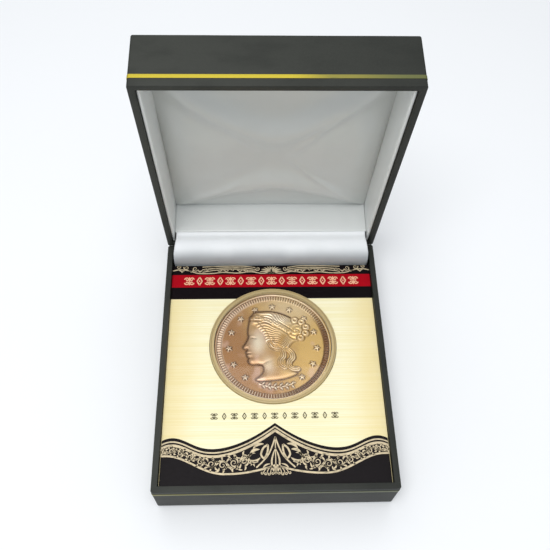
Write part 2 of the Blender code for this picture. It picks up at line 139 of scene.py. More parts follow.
class CoveringSettings(bpy.types.PropertyGroup):
    """Leatherette and foil on the outside of the case."""

    colour: tint("Leatherette", (0.017, 0.019, 0.015), "Colour of the leatherette")
    rub_colour: tint("Rubbed edge", (0.060, 0.066, 0.052), "Colour of the leatherette where it is rubbed")
    grain: length("Grain", 0.42 * MM, "Size of one grain of the leatherette")
    grain_depth: length("Grain depth", 0.035 * MM, "Depth of the leatherette's grain")
    wall: length("Wall", 1.75 * MM, "Width of the covered rim")
    turn_in: length("Turn-in", 3.8 * MM, "Covering turned down inside the rim")
    thickness: length("Thickness", 0.35 * MM, "Thickness of the covering")
    edge: length("Edge", 0.5 * MM, "Rounding of the outer edges")
    rim_edge: length("Rim edge", 0.12 * MM, "Rounding of the edges along the rims")
    foil: tint("Foil", (0.54, 0.43, 0.032), "Colour of the foil line")
    # This foil colour serves both wear and painted shade on the foil line.
    worn_and_shaded_foil: tint("Worn foil", (0.085, 0.10, 0.028), "Colour of the foil line where it is worn")


class SatinSettings(bpy.types.PropertyGroup):
    """Satin lining of the lid and over the hinge."""

    # Lit and shaded copies of one white satin. The lid's satin is painted darkest, as painted shade, and the lining
    # lighter. The hinge satin is painted palest, as painted light.
    colour: tint("Lid satin", (0.56, 0.58, 0.565), "Colour of the satin inside the lid")
    lining_shaded_colour: tint("Lining satin", (0.70, 0.72, 0.71), "Colour of the satin on the lid's inner walls")
    hinge_lit_colour: tint("Hinge satin", (0.84, 0.86, 0.88), "Colour of the satin over the hinge")
    body: length("Body", 1.0 * MM, "Thickness of the ceiling pad away from its ridges")
    ridge: length("Ridge", 2.9 * MM, "How far the pad's two bowed ridges stand up")
    panel: length("Panel", 1.7 * MM, "How far the pad's side panels stand up")
    upper_ridge: length("Upper ridge", 48.0 * MM, "Middle of the upper ridge, from the hinge line")
    lower_ridge: length("Lower ridge", 22.5 * MM, "Middle of the lower ridge, from the hinge line")
    cloth_thickness: length("Cloth thickness", 0.25 * MM, "Thickness of the satin over the hinge")


class PrintSettings(bpy.types.PropertyGroup):
    """Colours and lines printed on the card."""

    cream: tint("Cream", (0.88, 0.81, 0.49), "Ground colour of the card")
    amber: tint("Amber", (0.78, 0.62, 0.26), "Colour of the ground near the card's sides")
    red: tint("Red", (0.42, 0.003, 0.010), "Colour of the title band")
    black: tint("Black", (0.006, 0.004, 0.005), "Colour of the dark bands and border")
    gold: tint("Gold ink", (0.60, 0.50, 0.33), "Colour of the scrollwork")
    title: tint("Title ink", (0.86, 0.48, 0.30), "Colour of the ornaments on the title band")
    brown: tint("Brown ink", (0.10, 0.085, 0.045), "Colour of the ornaments under the coin")
    red_top: length("Red top", 30.6 * MM, "Upper edge of the title band")
    red_bottom: length("Red bottom", 25.75 * MM, "Lower edge of the title band")
    black_bottom: length("Black bottom", 21.25 * MM, "Lower edge of the dark band")


class CoinSettings(bpy.types.PropertyGroup):
    """Relief and metal of the coin."""

    # The light and dark bronze colours make a painted reflection, from dark on the coin's left to light on its right.
    light: tint("Light bronze", (0.76, 0.50, 0.18), "Colour of the bright side")
    dark: tint("Dark bronze", (0.42, 0.21, 0.085), "Colour of the toned side")
    # This colour is also used for the painted shadow round the head.
    stain_and_shadow: tint("Recess", (0.10, 0.045, 0.02), "Colour left in the recesses")
    relief: length("Relief", 0.70 * MM, "Height of the highest relief over the field")
    stars: number("Stars", 13, "Stars round the head")
    ticks: number("Denticles", 128, "Denticles inside the rim")
    rings: number("Rings", 118, "Rings of the relief's mesh")
    spokes: number("Spokes", 768, "Spokes of the relief's mesh")


class StageSettings(bpy.types.PropertyGroup):
    """Floor, light and camera."""

    floor: tint("Floor", (0.87, 0.885, 0.90), "Colour of the floor")
    sky: tint("Sky", (0.93, 0.96, 1.0), "Colour of the light all round")
    sky_strength: plain("Sky strength", 0.48, "Strength of the light all round")
    key: power("Key", 2.9, "Power of the high front light")
    back: power("Back", 0.9, "Power of the soft light behind")
    lens: plain("Lens", 44.15, "Focal length in millimetres on a 36 mm sensor")


SETTINGS = {
    "case_covering": CoveringSettings,
    "case_satin": SatinSettings,
    "case_print": PrintSettings,
    "case_coin": CoinSettings,
    "case_stage": StageSettings,
}


# ---- shader graphs ---------------------------------------------------------------------
class Wire:
    """One output of a shader node. Arithmetic on it adds Math nodes."""

    def __init__(self, graph, socket):
        self.graph = graph
        self.socket = socket

    def maths(self, operation, *values):
        node = self.graph.node("ShaderNodeMath", {"operation": operation}, dict(enumerate(values)))
        return Wire(self.graph, node.outputs[0])

    def __add__(self, other):
        return self.maths("ADD", self, other)

    def __sub__(self, other):
        return self.maths("SUBTRACT", self, other)

    def __rsub__(self, other):
        return self.maths("SUBTRACT", other, self)

    def __mul__(self, other):
        return self.maths("MULTIPLY", self, other)

    def __truediv__(self, other):
        return self.maths("DIVIDE", self, other)

    def __rtruediv__(self, other):
        return self.maths("DIVIDE", other, self)

    def __pow__(self, other):
        return self.maths("POWER", self, other)

    def __abs__(self):
        return self.maths("ABSOLUTE", self)

    __radd__ = __add__
    __rmul__ = __mul__

    def between(self, low, high):
        """0 below low, 1 above high, smooth between; falls instead when high is under low."""
        settings = {"interpolation_type": "SMOOTHSTEP"}
        sockets = {"Value": self, "From Min": low, "From Max": high}
        return Wire(self.graph, self.graph.node("ShaderNodeMapRange", settings, sockets).outputs[0])

    def inside(self, low, high, soft):
        """1 between low and high, with soft edges."""
        return self.between(low - soft, low + soft) * self.between(high + soft, high - soft)


class Graph:
    """A new material whose Principled shader is wired by name."""

    def __init__(self, name, **fixed):
        self.material = bpy.data.materials.new(name)
        self.material.use_nodes = True
        self.tree = self.material.node_tree
        self.tree.nodes.clear()
        self.shader = self.node("ShaderNodeBsdfPrincipled")
        self.output = self.node("ShaderNodeOutputMaterial", {}, {"Surface": self.shader.outputs[0]})
        self.set(**fixed)
        self.place = Wire(self, self.node("ShaderNodeTexCoord").outputs["Object"])
        axes = self.node("ShaderNodeSeparateXYZ", {}, {0: self.place}).outputs
        self.x, self.y, self.z = (Wire(self, axis) for axis in axes)

    def node(self, kind, settings=None, sockets=None):
        """Adds any node: its settings first, then values or links for its sockets."""
        made = self.tree.nodes.new(kind)
        for name, value in (settings or {}).items():
            setattr(made, name, value)
        for name, value in (sockets or {}).items():
            self.feed(made.inputs[name], value)
        return made

    def feed(self, socket, value):
        if isinstance(value, Wire):
            value = value.socket
        if isinstance(value, bpy.types.NodeSocket):
            self.tree.links.new(value, socket)
        elif socket.type == "RGBA" and len(value) == 3:
            socket.default_value = (*value, 1.0)
        else:
            socket.default_value = value

    def set(self, **inputs):
        for name, value in inputs.items():
            self.feed(self.shader.inputs[name.replace("_", " ")], value)
        return self

    def stretched(self, sizes):
        """The object's coordinates divided by a size, or by a size along each axis."""
        if not hasattr(sizes, "__len__"):
            sizes = (sizes, sizes, sizes)
        scale = tuple(1.0 / s for s in sizes)
        node = self.node("ShaderNodeVectorMath", {"operation": "MULTIPLY"}, {0: self.place, 1: scale})
        return Wire(self, node.outputs[0])

    def cloud(self, size, detail=3.0, roughness=0.55):
        """Noise from 0 to 1 with features of that size."""
        sockets = {"Vector": self.stretched(size), "Scale": 1.0, "Detail": detail, "Roughness": roughness}
        return Wire(self, self.node("ShaderNodeTexNoise", {}, sockets).outputs[0])

    def cells(self, size):
        """Distance inside Voronoi cells of that size."""
        sockets = {"Vector": self.stretched(size), "Scale": 1.0}
        return Wire(self, self.node("ShaderNodeTexVoronoi", {}, sockets).outputs["Distance"])

    def attribute(self, name):
        node = self.node("ShaderNodeAttribute", {"attribute_name": name})
        return Wire(self, node.outputs["Fac"])

    def mix(self, a, b, factor):
        """Colours a and b mixed by a factor."""
        node = self.node("ShaderNodeMix", {"data_type": "RGBA"}, {0: factor, 6: a, 7: b})
        return Wire(self, node.outputs[2])

    def bump(self, height, depth, strength=1.0):
        """Feeds the shader's normal from a height from 0 to 1 that is that deep."""
        sockets = {"Height": height, "Distance": depth, "Strength": strength}
        return self.set(Normal=self.node("ShaderNodeBump", {}, sockets).outputs[0])


# ---- meshes ----------------------------------------------------------------------------
def smooth_curve(points, per_span=8, shut=False):
    """Points along a Catmull-Rom curve."""
    points = [Vector(p) for p in points]
    if shut:
        ends = [points[-1], *points, points[0], points[1]]
    else:
        ends = [points[0] * 2 - points[1], *points, points[-1] * 2 - points[-2]]
    found = []
    for a, b, c, d in zip(ends, ends[1:], ends[2:], ends[3:]):
        for step in range(per_span):
            t = step / per_span
            square, cube = t * t, t * t * t
            found.append(
                0.5 * (2 * b + (c - a) * t + (2 * a - 5 * b + 4 * c - d) * square + (3 * b - a - 3 * c + d) * cube)
            )
    return found if shut else [*found, points[-1]]


def curve(points, per_span=6):
    """A smooth line through (x, y) points in millimetres."""
    return smooth_curve([Vector(p) * MM for p in points], per_span)


def heading(degrees):
    """The unit vector at that angle from +X."""
    return Vector((math.cos(math.radians(degrees)), math.sin(math.radians(degrees))))


def sideways(path, i):
    """The unit vector square to a path at its point i."""
    along = path[min(i + 1, len(path) - 1)] - path[max(i - 1, 0)]
    if along.length < 1e-9:
        along = Vector((1, 0))
    return Vector((-along.y, along.x)).normalized()


def rounded(corners, steps=4):
    """A polyline through (u, v, radius) corners, each rounded."""
    found = []
    last = len(corners) - 1
    for i, (u, v, radius) in enumerate(corners):
        here = Vector((u, v))
        if i in (0, last) or radius <= 0:
            found.append(here)
            continue
        before = Vector(corners[i - 1][:2]) - here
        after = Vector(corners[i + 1][:2]) - here
        cut = min(radius, before.length * 0.48, after.length * 0.48)
        start, end = here + before.normalized() * cut, here + after.normalized() * cut
        for step in range(steps + 1):
            t = step / steps
            found.append(start * (1 - t) ** 2 + here * 2 * t * (1 - t) + end * t * t)
    return found


class Piece:
    """A mesh being built, and what it becomes in the scene."""

    def __init__(self, name):
        self.name = name
        self.points = []
        self.faces = []

    def add(self, points, faces):
        start = len(self.points)
        self.points += [tuple(p) for p in points]
        self.faces += [tuple(start + i for i in f) for f in faces]

    def make(self, material, place=Matrix.Identity(4), sharp=35.0):
        mesh = bpy.data.meshes.new(self.name)
        mesh.from_pydata(self.points, [], self.faces)
        bm = bmesh.new()
        bm.from_mesh(mesh)
        bmesh.ops.remove_doubles(bm, verts=bm.verts, dist=1e-7)
        bmesh.ops.recalc_face_normals(bm, faces=bm.faces)
        bm.to_mesh(mesh)
        bm.free()
        mesh.shade_smooth()
        mesh.set_sharp_from_angle(angle=math.radians(sharp))
        mesh.materials.append(material)
        obj = bpy.data.objects.new(self.name, mesh)
        bpy.context.scene.collection.objects.link(obj)
        obj.matrix_world = place
        return obj


def settle(obj, body, nodes=()):
    """Puts a finished piece on its CAD body, in place of those CAD nodes."""
    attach(obj, body)
    if nodes:
        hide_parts(*nodes)
    return obj


def grid_faces(rows, columns, wrap_rows=False, wrap_columns=False):
    """Quads between rows of points, each row after the other."""
    found = []
    for r in range(rows if wrap_rows else rows - 1):
        for c in range(columns if wrap_columns else columns - 1):
            r1, c1 = (r + 1) % rows, (c + 1) % columns
            found.append((r * columns + c, r * columns + c1, r1 * columns + c1, r1 * columns + c))
    return found


def case_ring(inset, z):
    """The case's outline at a height, drawn in by an inset, with rounded corners and hand-laid unevenness."""
    corner, least, waver, span = 0.6 * MM, 0.12 * MM, 0.018 * MM, 11 * MM
    hx, hy = HALF_X - inset, HALF_Y - inset
    radius = min(max(corner - inset, least), hx * 0.9)
    turns = ((1, -1), (1, 1), (-1, 1), (-1, -1))
    centres = [Vector((sx * (hx - radius), sy * (hy - radius), z)) for sx, sy in turns]
    found = []
    for turn, centre in enumerate(centres):
        for step in range(7):
            found.append(centre + heading(-90 + 90 * turn + 15 * step).to_3d() * radius)
        end = centres[(turn + 1) % 4] + heading(90 * turn).to_3d() * radius
        found += [found[-1].lerp(end, s / 20) for s in range(1, 20)]
    return [p + noise.noise_vector(p / span) * waver for p in found]


def bar_faces(sections, around):
    """Faces of a bar: a sleeve between its sections of points, and its two ends."""
    last = (sections - 1) * around
    ends = [tuple(range(around)), tuple(reversed(range(last, last + around)))]
    return grid_faces(sections, around, False, True) + ends


def keep_modifiers(obj):
    """Makes an object's modifiers part of its mesh."""
    bpy.context.view_layer.update()
    obj.data = bpy.data.meshes.new_from_object(obj.evaluated_get(bpy.context.evaluated_depsgraph_get()))
    obj.modifiers.clear()


def thicken(obj, thickness, offset):
    """Gives a cloth's face its thickness."""
    solid = obj.modifiers.new("cloth", "SOLIDIFY")
    solid.thickness, solid.offset = thickness, offset
    keep_modifiers(obj)


def cut_away(obj, low, high):
    """Cuts a box out of a mesh and keeps the result."""
    cutter = Piece("cutter")
    cutter.add([(x, y, z) for x in (low[0], high[0]) for y in (low[1], high[1]) for z in (low[2], high[2])],
               [(0, 1, 3, 2), (4, 6, 7, 5), (0, 4, 5, 1), (2, 3, 7, 6), (0, 2, 6, 4), (1, 5, 7, 3)])
    tool = cutter.make(obj.data.materials[0], obj.matrix_world.copy())
    modifier = obj.modifiers.new("cut", "BOOLEAN")
    modifier.operation, modifier.solver, modifier.object = "DIFFERENCE", "EXACT", tool
    keep_modifiers(obj)
    bpy.data.objects.remove(tool)


def spacing(cells):
    """Steps from 0 to 1 that close up at both ends."""
    return [0.5 - 0.5 * math.cos(math.pi * i / cells) for i in range(cells + 1)]


def soft_block(piece, low, high, cells, edge, shape=None):
    """A box with rounded edges and a fine skin; shape(point, unit place) moves each point."""
    steps = [spacing(n) for n in cells]
    index, quads = {}, []

    def at(*key):
        return index.setdefault(key, len(index))

    nx, ny, nz = cells
    for axis, (n, a, b) in enumerate(((nx, ny, nz), (ny, nz, nx), (nz, nx, ny))):
        for i in range(a):
            for j in range(b):
                for side in (0, n):
                    corners = [(side, i, j), (side, i + 1, j), (side, i + 1, j + 1), (side, i, j + 1)]
                    quads.append(tuple(at(*(c[-axis:] + c[:-axis] if axis else c)) for c in corners))
    points = []
    for key in index:
        unit = Vector([steps[a][key[a]] for a in range(3)])
        p = Vector([low[a] + (high[a] - low[a]) * unit[a] for a in range(3)])
        core = Vector([min(max(p[a], low[a] + edge), high[a] - edge) for a in range(3)])
        out = p - core
        if out.length > edge:
            p = core + out.normalized() * edge
        points.append(shape(p, unit) if shape else p)
    piece.add(points, quads)


def turned_profile(piece, profile, centre, steps=144):
    """Turns a shut (radius, z) outline about a vertical line through centre."""
    spokes = [heading(360 * s / steps) for s in range(steps)]
    rows = [(centre.x + r * out.x, centre.y + r * out.y, z) for r, z in profile for out in spokes]
    piece.add(rows, grid_faces(len(profile), steps, True, True))


def ribbon(piece, path, width, low, high):
    """A flat printed stroke along (x, y) points; width is a number or a function of 0 to 1."""
    path = [Vector(p) for p in path]
    rows = []
    for i, p in enumerate(path):
        half = (width(i / (len(path) - 1)) if callable(width) else width) / 2
        side = sideways(path, i) * max(half, 0.02 * MM)
        for q, z in ((p + side, low), (p + side, high), (p - side, high), (p - side, low)):
            rows.append((q.x, q.y, z))
    piece.add(rows, bar_faces(len(path), 4))


def mirrored(paths):
    """Each stroke with its copy on the other side of the middle."""
    for path, width in paths:
        yield path, width
        yield [Vector((-p[0], p[1])) for p in path], width


def swell(widest):
    """A stroke width that is thin at both ends."""
    return lambda t: widest * (0.15 + 0.85 * math.sin(math.pi * t) ** 0.8)


def taper(widest):
    """A stroke width that is thin at its far end."""
    return lambda t: widest * (1.0 - 0.75 * t)


def scroll(x, y, radius, start, turns, grow=1.0):
    """A spiral that winds in to its centre, as (x, y) points in metres."""
    count = int(18 * abs(turns)) + 6
    found = []
    for i in range(count):
        t = i / (count - 1)
        r = radius * (1 - 0.86 * t) ** grow
        found.append((Vector((x, y)) + heading(start + 360 * turns * t) * r) * MM)
    return found


def leaf(x, y, angle, reach, bend=0.25):
    """The middle line of a leaf that starts at a point and bends sideways."""
    along, side = heading(angle) * reach, heading(angle + 90) * reach * bend
    places = [i / 9 for i in range(10)]
    return [(Vector((x, y)) + along * t + side * math.sin(math.pi * t * 0.9)) * MM for t in places]


# ---- finishes --------------------------------------------------------------------------
def leatherette(settings):
    g = Graph("leatherette", Specular_IOR_Level=0.30)
    grain = g.cells(settings.grain)
    fine = g.cloud(settings.grain * 0.4, 2.0)
    patches = g.cloud((14 * MM, 14 * MM, 6 * MM), 4.0)
    rubbed = g.cloud(3 * MM, 5.0, 0.7).between(0.60, 0.78) * 0.22
    ground = g.mix(settings.colour, settings.rub_colour, rubbed + (1.0 - grain) * 0.10)
    # Painted light: the leatherette is painted lighter towards the case's left.
    lit_left_ground = g.mix(ground, (0.040, 0.043, 0.036), g.x.between(24 * MM, -32 * MM) * 0.42)
    # Random darker patches, and painted shade: the leatherette is painted darker towards the case's right.
    patches_and_right_shade = patches.between(0.42, 0.70) * 0.45 + g.x.between(10 * MM, 34 * MM) * 0.3
    g.set(Base_Color=g.mix(lit_left_ground, (0.010, 0.012, 0.009), patches_and_right_shade), Roughness=0.46 + fine * 0.14 + patches * 0.08)
    return g.bump((1.0 - grain) * 0.7 + fine * 0.3, settings.grain_depth, 0.75).material


def foil(settings, name, front_shade):
    g = Graph(name, Specular_IOR_Level=0.6)
    specks = g.cloud(0.35 * MM, 3.0)
    streaks = g.cloud((7 * MM, 0.4 * MM, 0.4 * MM), 3.0)
    # Painted shade: the base's foil line is painted dull along the case's front, less so at its right end.
    front = g.y.between(3 * MM - HALF_Y, 1 * MM - HALF_Y) * (1.0 - g.x.between(24 * MM, 33 * MM) * 0.6)
    # Wear in random streaks, and painted shade: the foil line is painted duller towards the case's right.
    worn_and_shaded = g.x.between(2 * MM, 14 * MM) * 0.65 + g.x.between(14 * MM, 32 * MM) * 0.3
    worn_and_shaded = worn_and_shaded + streaks.between(0.58, 0.80) * 0.3 + front * front_shade
    g.set(Base_Color=g.mix(settings.foil, settings.worn_and_shaded_foil, worn_and_shaded.maths("MINIMUM", worn_and_shaded, 1.0)))
    g.set(Metallic=0.6 - worn_and_shaded * 0.35, Roughness=0.32 + specks * 0.18)
    return g.bump(specks, 0.02 * MM, 0.5).material


def satin(name, colour, gloss=0.30, shaded=None):
    g = Graph(name, Sheen_Weight=0.15, Sheen_Roughness=0.35, Specular_IOR_Level=0.7)
    threads = g.cloud((0.11 * MM, 2.4 * MM, 2.4 * MM), 2.0)
    weft = g.cloud((2.4 * MM, 0.14 * MM, 0.14 * MM), 2.0)
    shade = g.cloud(9 * MM, 3.0)
    pale = tuple(min(c * 1.08, 1.0) for c in colour)
    worn_and_shaded = g.mix(colour, pale, shade * 0.8 + threads * 0.2)
    # Painted shade: the satin is painted darker towards the bottom, reaching the shaded colour near the hinge line.
    if shaded:
        worn_and_shaded = g.mix(worn_and_shaded, shaded, g.z.between(AXIS.z + 5.6 * MM, AXIS.z + 1.6 * MM))
    g.set(Base_Color=worn_and_shaded, Roughness=gloss + weft * 0.16)
    return g.bump(threads * 0.5 + weft * 0.5, 0.012 * MM, 0.6).material


def card_print(settings):
    g = Graph("printed_card", Specular_IOR_Level=0.05)
    streaks = g.cloud((46 * MM, 0.34 * MM, 9 * MM), 4.0, 0.7)
    thin = g.cloud((80 * MM, 0.12 * MM, 9 * MM), 2.0)
    sides = abs(g.x).between(20 * MM, 33 * MM)
    ends = g.cloud((9 * MM, 26 * MM, 26 * MM), 2.0)
    cream = g.mix(settings.cream, (0.96, 0.92, 0.72), streaks.between(0.38, 0.62) * 0.65)
    cream = g.mix(cream, settings.amber, sides * (0.30 + ends * 0.5) + thin.between(0.58, 0.72) * 0.16)
    soft = 0.05 * MM
    red_grain = g.cloud(0.5 * MM, 3.0)
    red = g.mix(settings.red, (0.30, 0.0, 0.01), red_grain * 0.5)
    dark = g.y.between(settings.black_bottom - soft, settings.black_bottom + soft)
    colour = g.mix(cream, settings.black, dark)
    colour = g.mix(colour, red, g.y.inside(settings.red_bottom, settings.red_top, soft))
    paper = g.z.between(CARD_HIGH.z - 0.09 * MM, CARD_HIGH.z - 0.04 * MM)
    colour = g.mix((0.80, 0.78, 0.70), colour, paper)
    g.set(Base_Color=colour, Roughness=0.38 + thin * 0.18)
    return g.bump(g.cloud((0.5 * MM, 0.16 * MM, 0.3 * MM), 3.0), 0.008 * MM, 0.6).material


def ink(name, colour, metallic=0.0, vary=0.35):
    g = Graph(name, Specular_IOR_Level=0.12 + 0.4 * metallic)
    shade = g.cloud((1.2 * MM, 0.7 * MM, 1.0 * MM), 3.0)
    dark = tuple(c * 0.55 for c in colour)
    light = tuple(min(c * 1.25, 1.0) for c in colour)
    toned = g.mix(colour, dark, shade.between(0.5, 0.75) * vary * 2)
    g.set(Base_Color=g.mix(toned, light, shade.between(0.5, 0.3) * vary))
    g.set(Metallic=metallic, Roughness=0.36 + shade * 0.2)
    return g.bump(g.cloud(0.18 * MM, 2.0), 0.006 * MM, 0.5).material


def bronze(settings):
    g = Graph("bronze", Specular_IOR_Level=0.5)
    radius = COIN_HIGH.x - CENTRE.x
    across, up = (g.x - CENTRE.x) / radius, (g.y - CENTRE.y) / radius
    reach = (across * across + up * up) ** 0.5
    side = (across * 0.92 - up * 0.38) / (reach + 0.001)
    tone = g.cloud(5.5 * MM, 4.0)
    # Painted reflection mixed with random tone: the coin is painted darker on its left and lighter towards its right
    # and top.
    bright = (across * 0.75 + tone * 0.8 + up * 0.25 + 0.08).between(0.0, 0.95)
    colour = g.mix(settings.dark, settings.light, bright)
    # Painted highlight: the upper middle of the coin is painted pale.
    pale = up.between(0.15, 0.75) * across.between(-0.45, 0.25) * (1.0 - across.between(0.5, 0.9)) * 0.55
    colour = g.mix(colour, (0.90, 0.74, 0.52), pale)
    colour = g.mix(colour, (0.84, 0.58, 0.50), g.cloud(7 * MM, 2.0).between(0.54, 0.68) * 0.40)
    band = reach.between(0.855, 0.885) * reach.between(0.975, 0.955)
    # Painted highlight on the denticles at the coin's left.
    colour = g.mix(colour, (0.86, 0.66, 0.50), band * side.between(-0.30, -0.80) * 0.55)
    # Crests painted pale as wear, together with the painted highlight from head_tone over the cheek, the neck and the
    # hair.
    colour = g.mix(colour, (1.0, 0.88, 0.70), g.attribute("ridge") * 0.9)
    # Toning in the hollows, together with the painted shadow from head_tone along the profile and under the jaw.
    colour = g.mix(colour, settings.stain_and_shadow, g.attribute("recess_and_shadow") * 0.95)
    # Painted shadow: a dark crescent on the denticles at the coin's right.
    colour = g.mix(colour, (0.13, 0.048, 0.016), band * side.between(0.30, 0.85) * 0.90)
    g.set(Base_Color=colour, Metallic=0.50 + bright * 0.1, Roughness=0.34 + tone * 0.16)
    return g.bump(g.cloud(0.22 * MM, 3.0), 0.010 * MM, 0.5).material


def acrylic():
    """Clear plastic: what is behind shows through, and the surface shines where it turns away. Beyond the coin's edge
    it is painted a mostly opaque tan with a darker line. The tan is a painted stand-in for the lit card seen through
    the wall, and the line is a painted shade line.
    """
    g = Graph("clear_acrylic", Roughness=0.04, Base_Color=(0.97, 0.98, 0.95))
    haze = g.cloud(6 * MM, 3.0)
    scratches = g.cloud((0.05 * MM, 5 * MM, 5 * MM), 2.0).between(0.70, 0.80)
    reach = ((g.x - CENTRE.x) ** 2.0 + (g.y - CENTRE.y) ** 2.0) ** 0.5 / (COIN_HIGH.x - CENTRE.x)
    # Painted reflection and painted shade: beyond the coin's edge the plastic is painted tan, with a darker painted
    # line a little further out.
    wall = reach.between(1.0, 1.012)
    bands = reach.inside(1.045, 1.06, 0.008) * 0.5
    g.set(Roughness=0.03 + haze * 0.05 + scratches * 0.1 + wall * 0.25)
    g.set(Base_Color=g.mix((0.97, 0.98, 0.95), g.mix((0.68, 0.53, 0.26), (0.26, 0.17, 0.07), bands), wall))
    clear = g.node("ShaderNodeBsdfTransparent", {}, {0: (0.992, 0.992, 0.985)})
    turned = Wire(g, g.node("ShaderNodeLayerWeight", {}, {"Blend": 0.5}).outputs[1])
    shine = turned ** 5.0 * 0.97 + 0.03
    g.set(Metallic=1.0 - wall)
    cover = shine * 0.7 + haze * 0.01 + wall * 0.64
    mixed = g.node("ShaderNodeMixShader", {}, {0: cover, 1: clear.outputs[0], 2: g.shader.outputs[0]})
    g.tree.links.new(mixed.outputs[0], g.output.inputs["Surface"])
    return g.material


def plastic(name, colour):
    g = Graph(name, Specular_IOR_Level=0.4)
    fine = g.cloud(0.25 * MM, 3.0)
    pale = tuple(c * 1.6 for c in colour)
    g.set(Base_Color=g.mix(colour, pale, g.cloud(7 * MM) * 0.5), Roughness=0.45 + fine * 0.2)
    return g.bump(fine, 0.015 * MM, 0.5).material


def steel():
    g = Graph("zinc_steel", Metallic=1.0)
    brushed = g.cloud((6 * MM, 0.08 * MM, 0.08 * MM), 3.0)
    bloom = g.cloud(2.5 * MM, 4.0)
    g.set(Base_Color=g.mix((0.62, 0.63, 0.64), (0.42, 0.41, 0.38), bloom.between(0.45, 0.75) * 0.7))
    g.set(Roughness=0.26 + brushed * 0.2 + bloom * 0.1)
    return g.bump(brushed, 0.006 * MM, 0.5).material


def fibre(name, colour, size=0.5 * MM, depth=0.03 * MM):
    """Board, paper or foam: a matt ground with small pits."""
    g = Graph(name, Specular_IOR_Level=0.25)
    pits = g.cells(size)
    flecks = g.cloud(size * 2, 4.0)
    dark = tuple(c * 0.8 for c in colour)
    g.set(Base_Color=g.mix(colour, dark, flecks * 0.7), Roughness=0.78 + flecks * 0.15)
    return g.bump(pits * 0.6 + flecks * 0.4, depth, 0.6).material


# ---- operators -------------------------------------------------------------------------
class CaseOperator:
    """What every step of the build shares."""

    bl_options = {"REGISTER", "UNDO"}

    def execute(self, context):
        self.build(context.scene)
        return {"FINISHED"}


class COIN_OT_coverings(CaseOperator, bpy.types.Operator):
    """Wrap the base and the lid in leatherette, turned in over their rims"""

    bl_idname = "coin_case.coverings"
    bl_label = "Coverings"

    def build(self, scene):
        s = scene.case_covering
        finish = leatherette(s)
        e, r, t, w, turn = s.edge, s.rim_edge, s.thickness, s.wall, s.turn_in
        low, rim = BASE_LOW.z, BASE_HIGH.z
        base = [(7 * MM, low, 0), (0, low, e), (0, rim, r), (w, rim, r), (w, rim - turn, 0.06 * MM)]
        base += [(w - t, rim - turn, 0.06 * MM), (w - t, rim - t, 0.1 * MM), (t, rim - t, 0.1 * MM)]
        base += [(t, low + t, 0.1 * MM), (7 * MM, low + t, 0)]
        self.wrap("base_covering", base, finish, "base", Matrix.Identity(4), True)
        top, rim = LID_HIGH.z, LID_LOW.z
        middle = HALF_X - 0.2 * MM
        lid = [(middle, top, 0), (20 * MM, top, 0), (9 * MM, top, 0), (0, top, e), (0, rim, r), (w, rim, r)]
        lid += [(w, rim + turn, 0.06 * MM), (w - t, rim + turn, 0.06 * MM), (w - t, rim + t, 0.1 * MM)]
        lid += [(t, rim + t, 0.1 * MM), (t, top - t, 0.1 * MM), (20 * MM, top - t, 0), (middle, top - t, 0)]
        self.wrap("lid_covering", lid, finish, "lid", LID_PLACE, False)
        for name, side in (("seam_thread_left", -1), ("seam_thread_right", 1)):
            self.seam_thread(name, side, finish)

    def seam_thread(self, name, side, finish):
        """A roll of covering on the hinge line, which shuts the seam beside the hinge."""
        radius, steps = 0.11 * MM, 12
        rows = []
        for x in (24.6 * MM, 34.6 * MM):
            for step in range(steps):
                out = heading(360 * step / steps) * radius
                rows.append((side * x, AXIS.y + out.x, AXIS.z + out.y))
        piece = Piece(name)
        piece.add(rows, bar_faces(2, steps))
        settle(piece.make(finish), "base", ())

    def wrap(self, name, corners, finish, body, place, shut):
        rings = [case_ring(inset, z) for inset, z in rounded(corners)]
        count = len(rings[0])
        piece = Piece(name)
        faces = grid_faces(len(rings), count, True, True) if shut else bar_faces(len(rings), count)
        piece.add([p for ring in rings for p in ring], faces)
        obj = piece.make(finish, place)
        notch = (24.3 * MM, HALF_Y - 2.1 * MM, AXIS.z - 1.3 * MM)
        cut_away(obj, (-notch[0], notch[1], notch[2]), (notch[0], HALF_Y + 2 * MM, AXIS.z + 1.3 * MM))
        settle(obj, body, [f"{body}_wrap"])


class COIN_OT_foil_lines(CaseOperator, bpy.types.Operator):
    """Stamp the gold line round the base and round the lid"""

    bl_idname = "coin_case.foil_lines"
    bl_label = "Foil lines"

    def build(self, scene):
        # The base's foil line gets painted shade along its front. The lid's gets none.
        for body, (low, high), front_shade in (
            ("base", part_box("base_foil_line"), 0.75),
            ("lid", lid_box("lid_foil_line"), 0.0),
        ):
            finish = foil(scene.case_covering, f"{body}_gold_foil", front_shade)
            proud, back, r = -0.085 * MM, -0.01 * MM, 0.02 * MM
            corners = [(back, low.z, r), (proud, low.z, r), (proud, high.z, r), (back, high.z, r)]
            profile = rounded([(back, low.z + r, 0), *corners[1:3], (back, high.z - r, 0)], 3)
            rings = [case_ring(inset, z) for inset, z in profile]
            piece = Piece(f"{body}_gold_line")
            piece.add([p for ring in rings for p in ring], grid_faces(len(rings), len(rings[0]), True, True))
            place = LID_PLACE if body == "lid" else Matrix.Identity(4)
            settle(piece.make(finish, place), body, [f"{body}_foil_line"])


def border_top(x):
    """Upper edge of the card's lower border, in millimetres."""
    a = abs(x)
    peak = 7.6 * max(1 - a / 17.9, 0.0) ** 1.75
    rise = min(max((a - 17.9) / 12.1, 0.0), 1.0)
    shoulder = 3.4 * math.sin(math.pi / 2 * rise**1.2) ** 2 - 0.09 * max(a - 30.0, 0.0) ** 2
    return -28.7 + peak + shoulder


def border_bottom(x):
    """Lower edge of the border's gold scrollwork, in millimetres."""
    a = abs(x)
    if a < 14.0:
        return -36.0 + 2.4 * (1 - a / 14.0) ** 2
    rise = min((a - 14.0) / 17.5, 1.0)
    return -36.0 + 5.4 * math.sin(math.pi / 2 * rise**1.1) ** 2


